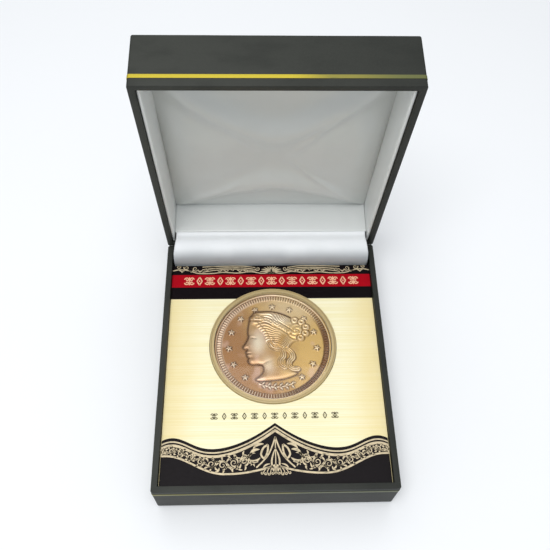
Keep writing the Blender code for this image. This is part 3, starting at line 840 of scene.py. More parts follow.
class COIN_OT_card(CaseOperator, bpy.types.Operator):
    """Print the card's bands, border, scrollwork and rows of ornaments"""

    bl_idname = "coin_case.card"
    bl_label = "Printed card"

    def build(self, scene):
        s = scene.case_print
        node = frame["nodes"]["printed_card"]
        node.data.materials.clear()
        node.data.materials.append(card_print(s))
        self.edge = (CARD_HIGH.x - 0.08 * MM) / MM
        self.top = CARD_HIGH.z
        self.ground(ink("black_ink", s.black, 0.0, 0.2))
        scrollwork = [*self.border_lines(), *self.border_vine(), *self.centre_sprig(), *self.head_band()]
        scrollwork = [(self.kept(path), width) for path, width in scrollwork]
        title, small = self.row(28.15, 27.4, 17, 1.55), self.row(-18.9, 18.0, 13, 1.0)
        for name, strokes, finish, low, high in (
            ("card_scrollwork", scrollwork, ink("gold_ink", s.gold, 0.25, 0.5), 0.02, 0.05),
            ("card_title_ornaments", title, ink("title_ink", s.title, 0.0, 0.25), 0.01, 0.035),
            ("card_small_ornaments", small, ink("brown_ink", s.brown, 0.0, 0.25), 0.01, 0.035),
        ):
            piece = Piece(name)
            for path, width in strokes:
                ribbon(piece, path, width, self.top + low * MM, self.top + high * MM)
            settle(piece.make(finish), "base", ())

    def kept(self, path):
        """The stroke held inside the card."""
        limit = self.edge * MM
        return [Vector((min(max(p[0], -limit), limit), min(p[1], CARD_HIGH.y - 0.1 * MM))) for p in path]

    def across(self, curve, offset=0.0, count=180):
        xs = [-self.edge + 2 * self.edge * i / count for i in range(count + 1)]
        return [Vector((x, curve(x) + offset)) * MM for x in xs]

    def ground(self, finish):
        piece = Piece("card_border_ground")
        top = self.across(border_top)
        front = CARD_LOW.y + 0.08 * MM
        rows = []
        for p in top:
            for y, z in ((p.y, 0.0), (p.y, 0.02 * MM), (front, 0.02 * MM), (front, 0.0)):
                rows.append((p.x, y, self.top + z))
        piece.add(rows, bar_faces(len(top), 4))
        settle(piece.make(finish), "base", ())

    def border_lines(self):
        yield self.across(border_top, -1.15), 0.42 * MM
        yield self.across(border_top, -2.25), 0.75 * MM
        yield self.across(border_bottom, 0.0), 0.55 * MM

    def band(self, x):
        """Middle and half height of the space for the vine."""
        high, low = border_top(x) - 2.7, border_bottom(x) + 0.45
        return (high + low) / 2, (high - low) / 2

    def border_vine(self):
        places = (9.0, 12.0, 15.2, 18.4, 21.6, 24.6, 27.4, 30.0, 32.2)
        strokes = []
        for i, x in enumerate(places):
            middle, half = self.band(x)
            side = 1 if i % 2 else -1
            size = min(half, 1.75) * 0.80
            strokes.append((scroll(x, middle + side * 0.1, size, 90 * side, 1.55 * side), taper(0.46 * MM)))
            for angle, reach in ((38, 1.5), (150, 1.5), (-40, 1.3), (-145, 1.3), (92, 0.9), (-88, 0.9)):
                start = heading(angle) * size * 0.9
                blade = leaf(x + start.x, middle + start.y, angle, reach * half / 1.8, 0.3 * side)
                strokes.append((blade, swell(0.50 * MM)))
        stem = []
        for i, x in enumerate((6.6, *places)):
            middle, half = self.band(x)
            stem.append((x, middle + (0.55 if i % 2 else -0.55) * half))
        strokes.append((curve(stem), 0.30 * MM))
        return mirrored(strokes)

    def centre_sprig(self):
        strokes = [([Vector((0, -25.4)) * MM, Vector((0, -35.9)) * MM], 0.30 * MM)]
        gable = [(0.0, -25.3), (0.9, -28.0), (2.1, -30.6), (3.8, -32.6), (5.6, -34.3)]
        strokes.append((curve(gable), 0.42 * MM))
        lance = [(0.0, -28.6), (0.75, -30.6), (1.15, -32.6), (0.9, -34.6), (0.15, -36.3)]
        strokes.append((curve(lance), swell(0.50 * MM)))
        loop = [(2.2, -27.6), (3.5, -28.6), (4.2, -30.4), (3.4, -31.6), (2.6, -30.6), (2.2, -29.0)]
        strokes.append((curve([*loop, loop[0]]), 0.55 * MM))
        for x, y, angle, reach, bend, width in (
            (3.4, -27.4, -28, 3.4, 0.20, 0.80), (4.6, -29.0, -34, 3.2, 0.24, 0.85),
            (4.4, -31.4, -8, 3.0, -0.25, 0.70), (6.6, -30.0, -60, 3.6, 0.18, 0.75),
            (5.0, -32.6, -30, 2.4, 0.20, 0.60), (1.6, -33.2, -38, 2.6, 0.2, 0.45),
        ):
            strokes.append((leaf(x, y, angle, reach, bend), swell(width * MM)))
        for x, drop in ((0.55, 2.1), (1.6, 2.3), (2.6, 2.2), (3.6, 2.0)):
            foot = -33.8 - drop
            hang = curve([(x * 0.5, -34.0), (x * 0.85, -34.9), (x, foot)], 5)
            strokes.append((hang + scroll(x + 0.38, foot, 0.38, 180, 0.9, 0.6), 0.22 * MM))
        return mirrored(strokes)

    def head_band(self):
        strokes = []
        for y, dip, width in ((33.95, 0.25, 0.30), (33.2, 0.55, 0.34), (32.55, 0.9, 0.28)):
            points = [(5.4, y - 0.6), (9.0, y), (14.0, y + dip * 0.3), (19.0, y - dip * 0.2), (23.2, y - dip)]
            strokes.append((curve(points), width * MM))
        wave = [(0.0, 31.55), (3.2, 31.1), (7.0, 31.75), (11.5, 31.25), (16.0, 31.55), (20.0, 31.15)]
        wave += [(24.5, 31.2), (28.0, 32.35), (31.0, 32.65), (33.2, 32.15)]
        strokes.append((curve(wave, 8), 0.36 * MM))
        for x, y, r, start, turns in (
            (25.6, 33.0, 1.0, 200, 1.3), (28.6, 33.5, 0.9, 20, -1.3), (21.8, 32.4, 0.7, 0, 1.2),
            (31.2, 33.8, 0.7, 160, 1.2), (4.6, 32.9, 0.8, 0, -1.3), (13.0, 32.4, 0.5, 0, 1.0),
        ):
            strokes.append((scroll(x, y, r, start, turns), taper(0.34 * MM)))
        for angle, reach in ((8, 3.6), (26, 3.5), (45, 3.2), (64, 3.0), (82, 2.8)):
            strokes.append((leaf(0.3, 31.0, angle, reach, 0.16), swell(0.50 * MM)))
        for x in (8.5, 10.6, 15.2, 17.4, 24.0, 26.9, 30.0):
            strokes.append((leaf(x, 31.5, 35, 1.3, 0.25), swell(0.36 * MM)))
            strokes.append((leaf(x, 31.5, 145, 1.2, -0.25), swell(0.36 * MM)))
        return mirrored(strokes)

    def row(self, y, reach, count, size):
        """Lozenges and facing curls in turn, along a line."""
        pitch = 2 * reach / (count - 1)
        for i in range(count):
            middle = Vector((-reach + i * pitch, y))
            across, up = Vector((size, 0)), Vector((0, size))
            if i % 2:
                points = [middle + p for p in (up, across * 0.55, -up, across * -0.55, up)]
                for a, b in zip(points, points[1:]):
                    yield [a.lerp(b, t / 3) * MM for t in range(4)], 0.26 * size * MM
                yield [(middle - across * 0.12) * MM, (middle + across * 0.12) * MM], 0.3 * size * MM
            else:
                for side in (-1, 1):
                    for lift in (1, -1):
                        x, rise = middle.x + side * size * 0.5, y + lift * size * 0.42
                        curl = scroll(x, rise, size * 0.5, 90 - 90 * side, lift * side * 1.1)
                        yield curl, 0.24 * size * MM
                yield [(middle - up) * MM, (middle + up) * MM], 0.22 * size * MM


# ---- the coin's relief, in millimetres from its centre ----------------------------------
BACK_OF_HEAD = [
    (5.4, -1.0), (6.6, 0.6), (8.6, 1.4), (10.0, 3.0), (10.3, 5.0), (9.4, 7.0), (7.6, 8.0), (5.8, 9.2),
    (3.2, 10.5), (0.4, 11.2), (-2.4, 11.2),
]
HEAD = [
    (-4.9, 10.2), (-5.6, 8.9), (-5.9, 7.3), (-6.15, 5.6), (-6.2, 4.0), (-6.0, 2.9), (-6.35, 1.6), (-7.0, 0.3),
    (-7.55, -0.55), (-7.35, -1.1), (-6.5, -1.3), (-6.35, -1.75), (-6.75, -2.3), (-6.45, -2.75), (-6.3, -2.85),
    (-6.55, -3.3), (-6.25, -3.9), (-5.95, -4.3), (-6.15, -5.1), (-5.75, -5.9), (-4.8, -6.25), (-3.4, -6.15),
    (-2.2, -6.6), (-1.75, -7.8), (-2.0, -9.0), (-3.0, -10.2), (-4.0, -11.1), (-2.6, -11.5), (0.4, -11.3),
    (3.4, -10.9), (6.0, -10.1), (7.4, -9.2), (6.2, -8.2), (4.9, -6.4), (4.3, -4.2), (4.6, -2.4),
    *BACK_OF_HEAD, (-4.2, 11.0),
]
HAIR = [
    (-4.9, 9.4), (-5.5, 8.2), (-5.3, 6.9), (-4.2, 6.3), (-3.2, 5.0), (-2.2, 3.9), (-1.6, 2.6), (-1.3, 1.2),
    (-0.2, 0.0), (1.4, -0.6), (2.9, -1.4), (4.4, -2.2), *BACK_OF_HEAD, (-4.2, 10.6),
]
CROWN_BAND = [(-5.3, 9.0), (-3.4, 8.9), (-1.0, 8.2), (1.6, 7.0), (3.8, 5.6), (5.4, 4.4)]
LOCKS = [
    [(2.4, -0.8), (3.5, -2.2), (3.7, -3.8), (2.9, -5.0), (2.9, -6.4), (4.0, -7.4)],
    [(4.6, -1.4), (5.9, -2.6), (6.3, -4.2), (5.4, -5.4), (5.2, -6.8), (6.2, -7.8), (7.6, -7.9)],
    [(-0.2, 0.6), (0.6, -0.7), (1.8, -1.3), (2.9, -1.2)],
]
CURLS = [(7.2, 8.1), (9.1, 7.5), (10.3, 5.8), (10.1, 3.8), (8.7, 2.3)]


def edge_distance(x, y, outline):
    """Distance to an outline, positive inside it."""
    points = np.array([tuple(p)[:2] for p in smooth_curve(outline, 6, shut=True)])
    best = np.full(x.shape, 1e9)
    inside = np.zeros(x.shape, bool)
    for (ax, ay), (bx, by) in zip(points, np.roll(points, -1, 0)):
        dx, dy = bx - ax, by - ay
        t = np.clip(((x - ax) * dx + (y - ay) * dy) / (dx * dx + dy * dy + 1e-12), 0, 1)
        best = np.minimum(best, np.hypot(x - ax - t * dx, y - ay - t * dy))
        crosses = (ay > y) != (by > y)
        inside ^= crosses & (x < ax + (y - ay) / (by - ay + 1e-12) * dx)
    return np.where(inside, best, -best)


def line_place(x, y, line):
    """Distance to an open line, and how far along it the nearest point is."""
    points = np.array([tuple(p)[:2] for p in smooth_curve(line, 6)])
    best, along, run = np.full(x.shape, 1e9), np.zeros(x.shape), 0.0
    for (ax, ay), (bx, by) in zip(points, points[1:]):
        dx, dy = bx - ax, by - ay
        size = math.hypot(dx, dy)
        t = np.clip(((x - ax) * dx + (y - ay) * dy) / (size * size + 1e-12), 0, 1)
        d = np.hypot(x - ax - t * dx, y - ay - t * dy)
        along = np.where(d < best, run + t * size, along)
        best = np.minimum(best, d)
        run += size
    return best, along


def hill(x, y, cx, cy, rx, ry, turn=0.0):
    """A smooth round bump, 1 at its top."""
    c, s = math.cos(math.radians(turn)), math.sin(math.radians(turn))
    u, v = ((x - cx) * c + (y - cy) * s) / rx, (-(x - cx) * s + (y - cy) * c) / ry
    return np.exp(-(u * u + v * v) * 1.6)


def head_relief(x, y):
    """The head: face, coronet, swept hair, bun and neck locks, from 0 to about 1."""
    d = edge_distance(x, y, HEAD)
    form = 1 - np.exp(-np.clip(d, 0, None) / 0.55)
    form *= 0.62 + 0.14 * hill(x, y, -1.5, 1.0, 6.5, 8.0)
    form += 0.10 * hill(x, y, -3.4, -1.2, 2.4, 2.2) + 0.05 * hill(x, y, -5.3, -5.0, 0.9, 0.8)
    form += 0.07 * hill(x, y, -5.5, 3.4, 1.3, 0.45, -8) - 0.15 * hill(x, y, -4.9, 2.1, 0.95, 0.6)
    form += 0.12 * hill(x, y, -5.0, 2.0, 0.50, 0.34) - 0.06 * hill(x, y, -4.8, 2.45, 1.0, 0.13, -10)
    form -= 0.05 * hill(x, y, -4.8, 1.5, 0.9, 0.13, 8)
    form += 0.10 * hill(x, y, -6.55, -0.65, 0.55, 0.42) - 0.10 * hill(x, y, -5.85, -0.6, 0.28, 0.5)
    form -= 0.14 * hill(x, y, -6.1, -2.82, 0.75, 0.15, 4) + 0.05 * hill(x, y, -5.9, -4.15, 0.8, 0.3)
    form += 0.07 * hill(x, y, -6.3, -2.35, 0.6, 0.3) + 0.07 * hill(x, y, -6.2, -3.3, 0.55, 0.3)
    form -= 0.10 * hill(x, y, -1.6, -5.9, 2.6, 0.6, 24)
    form *= d > 0
    hair = edge_distance(x, y, HAIR)
    mass = np.clip(hair / 0.5, 0, 1)
    away = np.hypot(x - 7.6, y - 4.6)
    fan = np.arctan2(y - 4.6, x - 7.6) + 0.07 * np.sin(away * 0.9)
    strands = 0.5 + 0.5 * np.sin(fan * 62 + 0.8 * np.sin(away * 0.7)) * np.clip(away / 5, 0, 1)
    form += mass * (0.14 + 0.22 * strands)
    wave_line = 0.5 + 0.5 * np.cos(hair * 6.2)
    form += 0.14 * wave_line * np.exp(-((hair - 0.9) / 0.8) ** 2) * (hair > 0) * (x < 3)
    bun = np.clip(1 - (np.hypot(x - 7.5, (y - 4.6) * 0.92) / 2.9) ** 2, 0, 1) ** 0.5
    swirl = 0.5 + 0.5 * np.sin(np.hypot(x - 7.5, y - 4.6) * 5.4 + 2 * np.arctan2(y - 4.6, x - 7.5))
    form = np.where(bun > 0, np.maximum(form * (1 - 0.6 * bun), 0.50 * form + bun * (0.34 + 0.20 * swirl)), form)
    off, along = line_place(x, y, CROWN_BAND)
    band = np.clip((0.78 - off) / 0.16, 0, 1)
    beads = 0.5 + 0.5 * np.cos(along * 2 * math.pi / 0.92)
    form += band * (0.12 + 0.18 * beads * (off < 0.5)) - 0.18 * (d > 0) * np.exp(-(((off - 0.92) / 0.16) ** 2))
    ear = np.hypot((x - 0.3) / 0.75, (y - 1.2) / 1.15)
    form += 0.14 * np.exp(-((ear - 0.85) / 0.28) ** 2) - 0.10 * np.exp(-(ear / 0.45) ** 2)
    for lock in LOCKS:
        off, along = line_place(x, y, lock)
        body = np.clip(1 - (off / 0.85) ** 2, 0, 1) ** 0.5
        form = np.maximum(form * (1 - 0.45 * body), body * (0.78 + 0.16 * np.cos(off * 10.5) + 0.07 * np.sin(along * 2.6)))
    for cx, cy in CURLS:
        away = np.hypot(x - cx, y - cy)
        ball = np.clip((1.3 - away) / 0.28, 0, 1)
        form = np.maximum(form * (1 - 0.6 * ball), ball * (0.50 + 0.42 * np.exp(-(((away - 0.62) / 0.30) ** 2))))
    return np.clip(form, 0, 1.15)


def head_tone(x, y):
    """Where the head is painted pale and where it is painted dark. Pale: a painted highlight over the cheek, the neck
    and the top of the hair. Dark: darkening at the eye, brow, nostril and mouth, a painted shadow along the front
    edge of the profile, and a painted shadow under the jaw.
    """
    d = edge_distance(x, y, HEAD)
    # Painted highlight over the cheek, the neck and the top of the hair.
    pale = 0.95 * hill(x, y, -3.4, 0.6, 2.6, 4.6) + 0.60 * hill(x, y, -0.4, -6.5, 2.0, 3.4)
    pale += 0.60 * hill(x, y, 2.0, 8.5, 4.5, 2.0, -20)
    # Painted shadow: a dark line just outside the head's edge. It is kept off the back of the head and the neck, so
    # it runs only along the front.
    behind = (x > 2.5) & (y < 1.2) & (y > -8.8) | (x > 6.2) & (y > 0)
    dark = 0.80 * np.exp(-(((d + 0.22) / 0.30) ** 2)) * ~behind
    dark += 0.75 * hill(x, y, -5.05, 2.02, 0.50, 0.26) + 0.45 * hill(x, y, -5.2, 3.15, 1.2, 0.22, -8)
    dark += 0.60 * hill(x, y, -6.25, -0.85, 0.35, 0.22) + 0.75 * hill(x, y, -6.15, -2.82, 0.75, 0.16, 4)
    # Painted shadow under the jaw. The second term darkens beside the eye.
    dark += 0.45 * hill(x, y, -2.4, -6.3, 2.4, 0.35, 20) + 0.35 * hill(x, y, -4.1, 1.9, 0.5, 0.3)
    return pale * (d > 0), dark


def star_relief(x, y, count):
    """Five-pointed stars round the field, with a gap under the neck for the sprig."""
    total = np.zeros(x.shape)
    for i in range(count):
        angle = math.radians(231 - 282 * i / (count - 1))
        cx, cy = 14.0 * math.cos(angle), 14.0 * math.sin(angle)
        u, v = x - cx, y - cy
        rho, phi = np.hypot(u, v), np.arctan2(v, u) - angle
        fold = np.abs((phi * 5 / (2 * math.pi)) % 1 - 0.5) * 2
        reach = 0.62 + 0.74 * fold**1.25
        total = np.maximum(total, np.clip(1 - rho / reach, 0, 1) * 1.5)
    return np.clip(total, 0, 0.75)


def sprig_relief(x, y):
    """A small spray of leaves under the neck."""
    off, _ = line_place(x, y, [(-4.6, -13.0), (-1.6, -13.9), (1.4, -14.1), (4.2, -13.6), (6.6, -12.6)])
    total = 0.5 * np.clip(1 - (off / 0.22) ** 2, 0, 1)
    for i in range(6):
        cx = -3.6 + i * 1.8
        cy = -13.95 + 0.028 * (cx - 1.0) ** 2
        for side in (1, -1):
            lean = 48 * side
            place = cx + 0.45, cy + 0.55 * side
            blade = hill(x, y, *place, 0.85, 0.36, lean) > 0.25
            total = np.maximum(total, 0.8 * blade * hill(x, y, *place, 0.9, 0.42, lean))
    return total


class COIN_OT_coin(CaseOperator, bpy.types.Operator):
    """Strike the coin: rim, denticles, stars, a sprig and a plain classical head"""

    bl_idname = "coin_case.coin"
    bl_label = "Coin"

    def build(self, scene):
        s = scene.case_coin
        radius = (COIN_HIGH.x - CENTRE.x) / MM
        bottom, top = COIN_LOW.z / MM, COIN_HIGH.z / MM
        field = top - s.relief / MM * 1.05
        radii = np.concatenate([np.linspace(0.02, 15.4, s.rings - 30), np.linspace(15.55, radius - 0.12, 30)])
        angles = np.arange(s.spokes) * 2 * math.pi / s.spokes
        r, a = np.meshgrid(radii, angles, indexing="ij")
        x, y = r * np.cos(a), r * np.sin(a)
        head = head_relief((x + 0.9) / 1.12, (y - 0.2) / 1.06)
        relief = np.maximum(head, star_relief(x, y, s.stars))
        relief = np.maximum(relief, sprig_relief(x, y) * (head < 0.05))
        ticks = np.clip((r - 16.3) / 0.3, 0, 1) * np.clip((17.9 - r) / 0.2, 0, 1)
        relief += ticks * (0.30 + 0.42 * np.cos(a * s.ticks) ** 3)
        relief = np.maximum(relief, np.clip((r - 17.75) / 0.22, 0, 1) * 1.02)
        relief += 0.06 * np.clip((r - 9) / 7, 0, 1) ** 2 * (relief < 0.05)
        height = field + relief * s.relief / MM
        recess_and_shadow, ridge = self.curvature(relief)
        # head_tone adds a painted highlight to the pale crest values. It adds painted shadow and darkening to the
        # hollow values.
        pale, dark = head_tone((x + 0.9) / 1.12, (y - 0.2) / 1.06)
        recess_and_shadow, ridge = np.clip(recess_and_shadow + dark, 0, 1), np.clip(ridge + pale, 0, 1)
        rows = [np.stack([x[i], y[i], height[i]], 1) for i in range(len(radii))]
        shades = [(recess_and_shadow[i], ridge[i]) for i in range(len(radii))]
        for rr, zz in ((radius - 0.03, top - 0.05), (radius, top - 0.14), (radius, bottom + 0.14),
                       (radius - 0.03, bottom + 0.05), (radius - 0.12, bottom), (17.6, bottom), (17.2, bottom + 0.35),
                       (9.0, bottom + 0.38), (0.02, bottom + 0.38)):
            rows.append(np.stack([rr * np.cos(angles), rr * np.sin(angles), np.full(angles.shape, zz)], 1))
            shades.append((np.zeros(angles.shape), np.zeros(angles.shape)))
        points = np.concatenate(rows) * MM + np.array([CENTRE.x, CENTRE.y, 0.0])
        faces = bar_faces(len(rows), s.spokes)
        mesh = bpy.data.meshes.new("struck_coin")
        mesh.from_pydata(points.tolist(), [], faces)
        for name, which in (("recess_and_shadow", 0), ("ridge", 1)):
            values = np.concatenate([shade[which] for shade in shades])
            mesh.attributes.new(name, "FLOAT", "POINT").data.foreach_set("value", values.astype(np.float32))
        mesh.shade_smooth()
        mesh.materials.append(bronze(s))
        bm = bmesh.new()
        bm.from_mesh(mesh)
        bmesh.ops.recalc_face_normals(bm, faces=bm.faces)
        bm.to_mesh(mesh)
        bm.free()
        obj = bpy.data.objects.new("struck_coin", mesh)
        scene.collection.objects.link(obj)
        settle(obj, "coin_body", ["coin"])

    def curvature(self, relief):
        """How hollow and how crested the relief is at each point."""
        blur = relief.copy()
        for _ in range(7):
            across = (np.roll(blur, 1, 1) + np.roll(blur, -1, 1)) / 2
            along = blur.copy()
            along[1:-1] = (blur[2:] + blur[:-2]) / 2
            blur = (across + along + blur) / 3
        crest = relief - blur
        return np.clip(-crest * 6.5, 0, 1), np.clip(crest * 5.0, 0, 1)


class COIN_OT_capsule(CaseOperator, bpy.types.Operator):
    """Turn the two clear halves of the capsule"""

    bl_idname = "coin_case.capsule"
    bl_label = "Capsule"

    def build(self, scene):
        finish = acrylic()
        r = CAP_HIGH.x - CENTRE.x
        coin = COIN_HIGH.x - CENTRE.x
        seat, seat_out = coin + 0.25 * MM, coin + 0.80 * MM
        low, floor = TRAY_LOW.z, TRAY_LOW.z + 1.1 * MM
        tray = [(0.02 * MM, floor, 0), (seat, floor, 0.1 * MM), (seat, TRAY_HIGH.z, 0.1 * MM)]
        tray += [(seat_out, TRAY_HIGH.z, 0.1 * MM), (seat_out, floor, 0.05 * MM), (r, floor, 0.1 * MM)]
        tray += [(r, low, 0.35 * MM), (0.02 * MM, low, 0)]
        high, plate = CAP_HIGH.z, CAP_HIGH.z - 1.1 * MM
        inner = seat_out + 0.1 * MM
        cap = [(0.02 * MM, high, 0), (r, high, 0.4 * MM), (r, CAP_LOW.z, 0.1 * MM), (inner, CAP_LOW.z, 0)]
        cap += [(inner, plate, 0.1 * MM), (0.02 * MM, plate, 0)]
        for name, profile, body in (("clear_tray", tray, "tray"), ("clear_cap", cap, "cap")):
            piece = Piece(name)
            turned_profile(piece, rounded(profile, 5), CENTRE)
            settle(piece.make(finish, sharp=40), body, [f"capsule_{body}"])


# sharp folds of the ceiling satin: ends (across, out from the hinge) and height, in millimetres
FOLDS = ((4.9, 36.5, 22.5, 64.0, 0.70), (-4.6, 38.8, -15.1, 53.1, 0.45),
         (5.0, 34.2, 28.0, 10.1, 0.72), (-8.6, 24.2, -26.9, 11.8, 0.50))


class COIN_OT_lid_lining(CaseOperator, bpy.types.Operator):
    """Line the lid: four satin-covered strips and the puffed ceiling pad"""

    bl_idname = "coin_case.lid_lining"
    bl_label = "Lid lining"

    def build(self, scene):
        s = scene.case_satin
        # The pad and wall satins are painted shaded copies of the hinge's satin.
        self.finish = satin("pad_satin_cloth", s.colour)
        wall_finish = satin("lining_satin_cloth", s.lining_shaded_colour)
        walls = {"left": (3, 60, 12), "right": (3, 60, 12), "front": (56, 3, 12), "back": (64, 3, 16)}
        for side, cells in walls.items():
            low, high = lid_box(f"lid_lining_{side}")
            thin = 0 if side in ("left", "right") else 1
            swell_by = 0.30 * MM

            def puffed(p, unit, thin=thin, side=side):
                a, b = [unit[i] for i in range(3) if i != thin]
                crown = (math.sin(math.pi * a) * math.sin(math.pi * b)) ** 0.5 * swell_by
                inward = -1 if side in ("right", "back") else 1
                face = unit[thin] if inward > 0 else 1 - unit[thin]
                p = p.copy()
                pleat = noise.noise(Vector((p.x, p.y, p.z * 0.35)) / (2.6 * MM)) * 0.10 * MM * min(b, 1 - b) * 2
                p[thin] += inward * face * (crown + pleat)
                return p

            piece = Piece(f"satin_{side}_wall")
            soft_block(piece, low, high, cells, 0.30 * MM, puffed)
            settle(piece.make(wall_finish, LID_PLACE, 60), "lid", [f"lid_lining_{side}"])
        self.pad(s)

    def pad(self, s):
        low, high = lid_box("lid_satin")
        wall_left, _ = lid_box("lid_lining_left")
        board, _ = lid_box("lid_pad_board")
        reach = abs(wall_left.x) - 0.85 * MM
        satin_low = Vector((-reach, low.y, board.z))
        satin_high = Vector((reach, high.y, high.z))
        piece = Piece("satin_ceiling_pad")
        self.cushion(piece, satin_low, satin_high, s, 0.0, high.z - 0.05 * MM)
        obj = piece.make(self.finish, LID_PLACE, 80)
        thicken(obj, 0.2 * MM, -1.0)
        settle(obj, "lid", ["lid_satin"])
        filling = Piece("ceiling_pad_filling")
        foam_low, foam_high = lid_box("lid_foam")
        foam_low.z = board.z
        self.cushion(filling, foam_low, foam_high, s, 0.3 * MM, board.z - 0.02 * MM)
        filling.faces.append(tuple(reversed(range(len(filling.points) - filling.edge, len(filling.points)))))
        settle(filling.make(fibre("pad_foam", (0.80, 0.80, 0.77), 0.7 * MM, 0.08 * MM), LID_PLACE, 60), "lid",
               ["lid_foam"])

    def cushion(self, piece, low, high, s, sunk, rim_z):
        """The pad's domed face, with its edges carried up to rim_z."""
        columns, rows = 132, 150
        across, up = spacing(columns), spacing(rows)
        grid = []
        for v in up:
            for u in across:
                x, y = low.x + (high.x - low.x) * u, low.y + (high.y - low.y) * v
                rim = min(x - low.x, high.x - x, y - low.y, high.y - y)
                thick = 0.35 * MM + self.height(x, AXIS.y - y, s) * (1 - math.exp(-max(rim, 0) / (2.6 * MM)))
                grid.append((x, y, low.z - max(thick - sunk, 0.05 * MM)))
        piece.add(grid, grid_faces(rows + 1, columns + 1))
        wide = columns + 1
        edge = list(range(wide)) + [(j + 1) * wide - 1 for j in range(1, rows + 1)]
        edge += [rows * wide + i for i in range(columns - 1, -1, -1)] + [j * wide for j in range(rows - 1, 0, -1)]
        skirt = [grid[i] for i in edge] + [(grid[i][0], grid[i][1], rim_z) for i in edge]
        piece.add(skirt, grid_faces(2, len(edge), False, True))
        piece.edge = len(edge)

    def height(self, x, out, s):
        """How thick the pad is: two bowed ridges that run to the edges, raised side panels, and creases between."""
        a = abs(x) / MM
        upper = s.upper_ridge / MM + 13.4 * (a / 21) ** 1.6
        lower = s.lower_ridge / MM - 12.5 * (a / 27) ** 1.8
        u = out / MM
        shake = noise.noise(Vector((x / (13 * MM), u / 30, 3.0)))
        d = (u - upper) + shake * 1.6
        upper_lift = math.exp(-((d / (6.5 if d > 0 else 5.5)) ** 2))
        d = (u - lower) - shake * 1.2
        lower_lift = math.exp(-((d / (6.0 if d > 0 else max(4.6 - a * 0.10, 1.4))) ** 2))
        middle = math.exp(-(((u - 37.0) / (3.0 + 0.56 * a)) ** 4))
        panel = middle * min(max((a - 3) / 12, 0), 1)
        crease = noise.noise(Vector((x / (4.5 * MM), u / 16, 7.0))) * 0.14 * MM
        crease += noise.noise(Vector((x / (9 * MM), u / 9, 2.0))) * 0.22 * MM
        lower_lift *= 1.0 - 0.60 * min(a / 30, 1.0) ** 2
        for x0, u0, x1, u1, lift in FOLDS:
            du, dx = u1 - u0, x1 - x0
            t = ((x / MM - x0) * dx + (u - u0) * du) / (dx * dx + du * du)
            off = ((x / MM - x0) * du - (u - u0) * dx) / math.hypot(dx, du) + shake * 0.8
            crease += lift * MM * math.exp(-((off / 0.95) ** 2)) * math.sin(math.pi * min(max(t, 0), 1)) ** 0.6
        return s.body + s.ridge * (0.92 * upper_lift + lower_lift) + s.panel * panel + crease


class COIN_OT_hinge_cloth(CaseOperator, bpy.types.Operator):
    """Stretch the satin over the hinge, from behind the card to the lid's lining"""

    bl_idname = "coin_case.hinge_cloth"
    bl_label = "Hinge cloth"

    def build(self, scene):
        s = scene.case_satin
        # The hinge satin is painted darker towards its bottom by this shaded colour: painted shade.
        finish = satin("hinge_satin_cloth", s.hinge_lit_colour, 0.46, (0.43, 0.465, 0.485))
        tuck = HALF_Y - CARD_HIGH.y - 0.35 * MM
        profile = [(tuck, -6.0), (tuck, -3.9), (tuck - 0.1 * MM, -2.2), (6.65 * MM, -0.3), (6.2 * MM, 1.6)]
        profile += [(5.2 * MM, 3.1), (3.7 * MM, 4.2), (1.7 * MM, 4.9)]
        path = [Vector((AXIS.y - u, AXIS.z + v * MM)) for u, v in profile]
        path += [lid_spot(4.75, 1.1), lid_spot(5.15, 2.5)]
        path = smooth_curve(path, 7)
        columns = 150
        run = [0.0]
        for a, b in zip(path, path[1:]):
            run.append(run[-1] + (b - a).length)
        rows = []
        for i, p in enumerate(path):
            t = run[i] / run[-1]
            out = sideways(path, i)
            half = (32.5 - 0.75 * min(max((t - 0.55) / 0.3, 0), 1)) * MM
            for c in range(columns + 1):
                u = c / columns * 2 - 1
                loose = math.sin(math.pi * min(max((t - 0.22) / 0.72, 0), 1))
                ease = noise.noise(Vector((u * 4.2, t * 1.1, 1.7))) * 0.42
                ease += noise.noise(Vector((u * 13, t * 2.2, 4.0))) * 0.10
                drawn = 0.35 * (1 - abs(u) ** 6)
                q = p + out * (ease + drawn) * loose * MM
                rows.append((u * half, q.x, q.y))
        piece = Piece("satin_hinge_cloth")
        piece.add(rows, grid_faces(len(path), columns + 1))
        obj = piece.make(finish, sharp=80)
        thicken(obj, s.cloth_thickness, 0.0)
        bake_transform(obj)
        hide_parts("hinge_cloth")


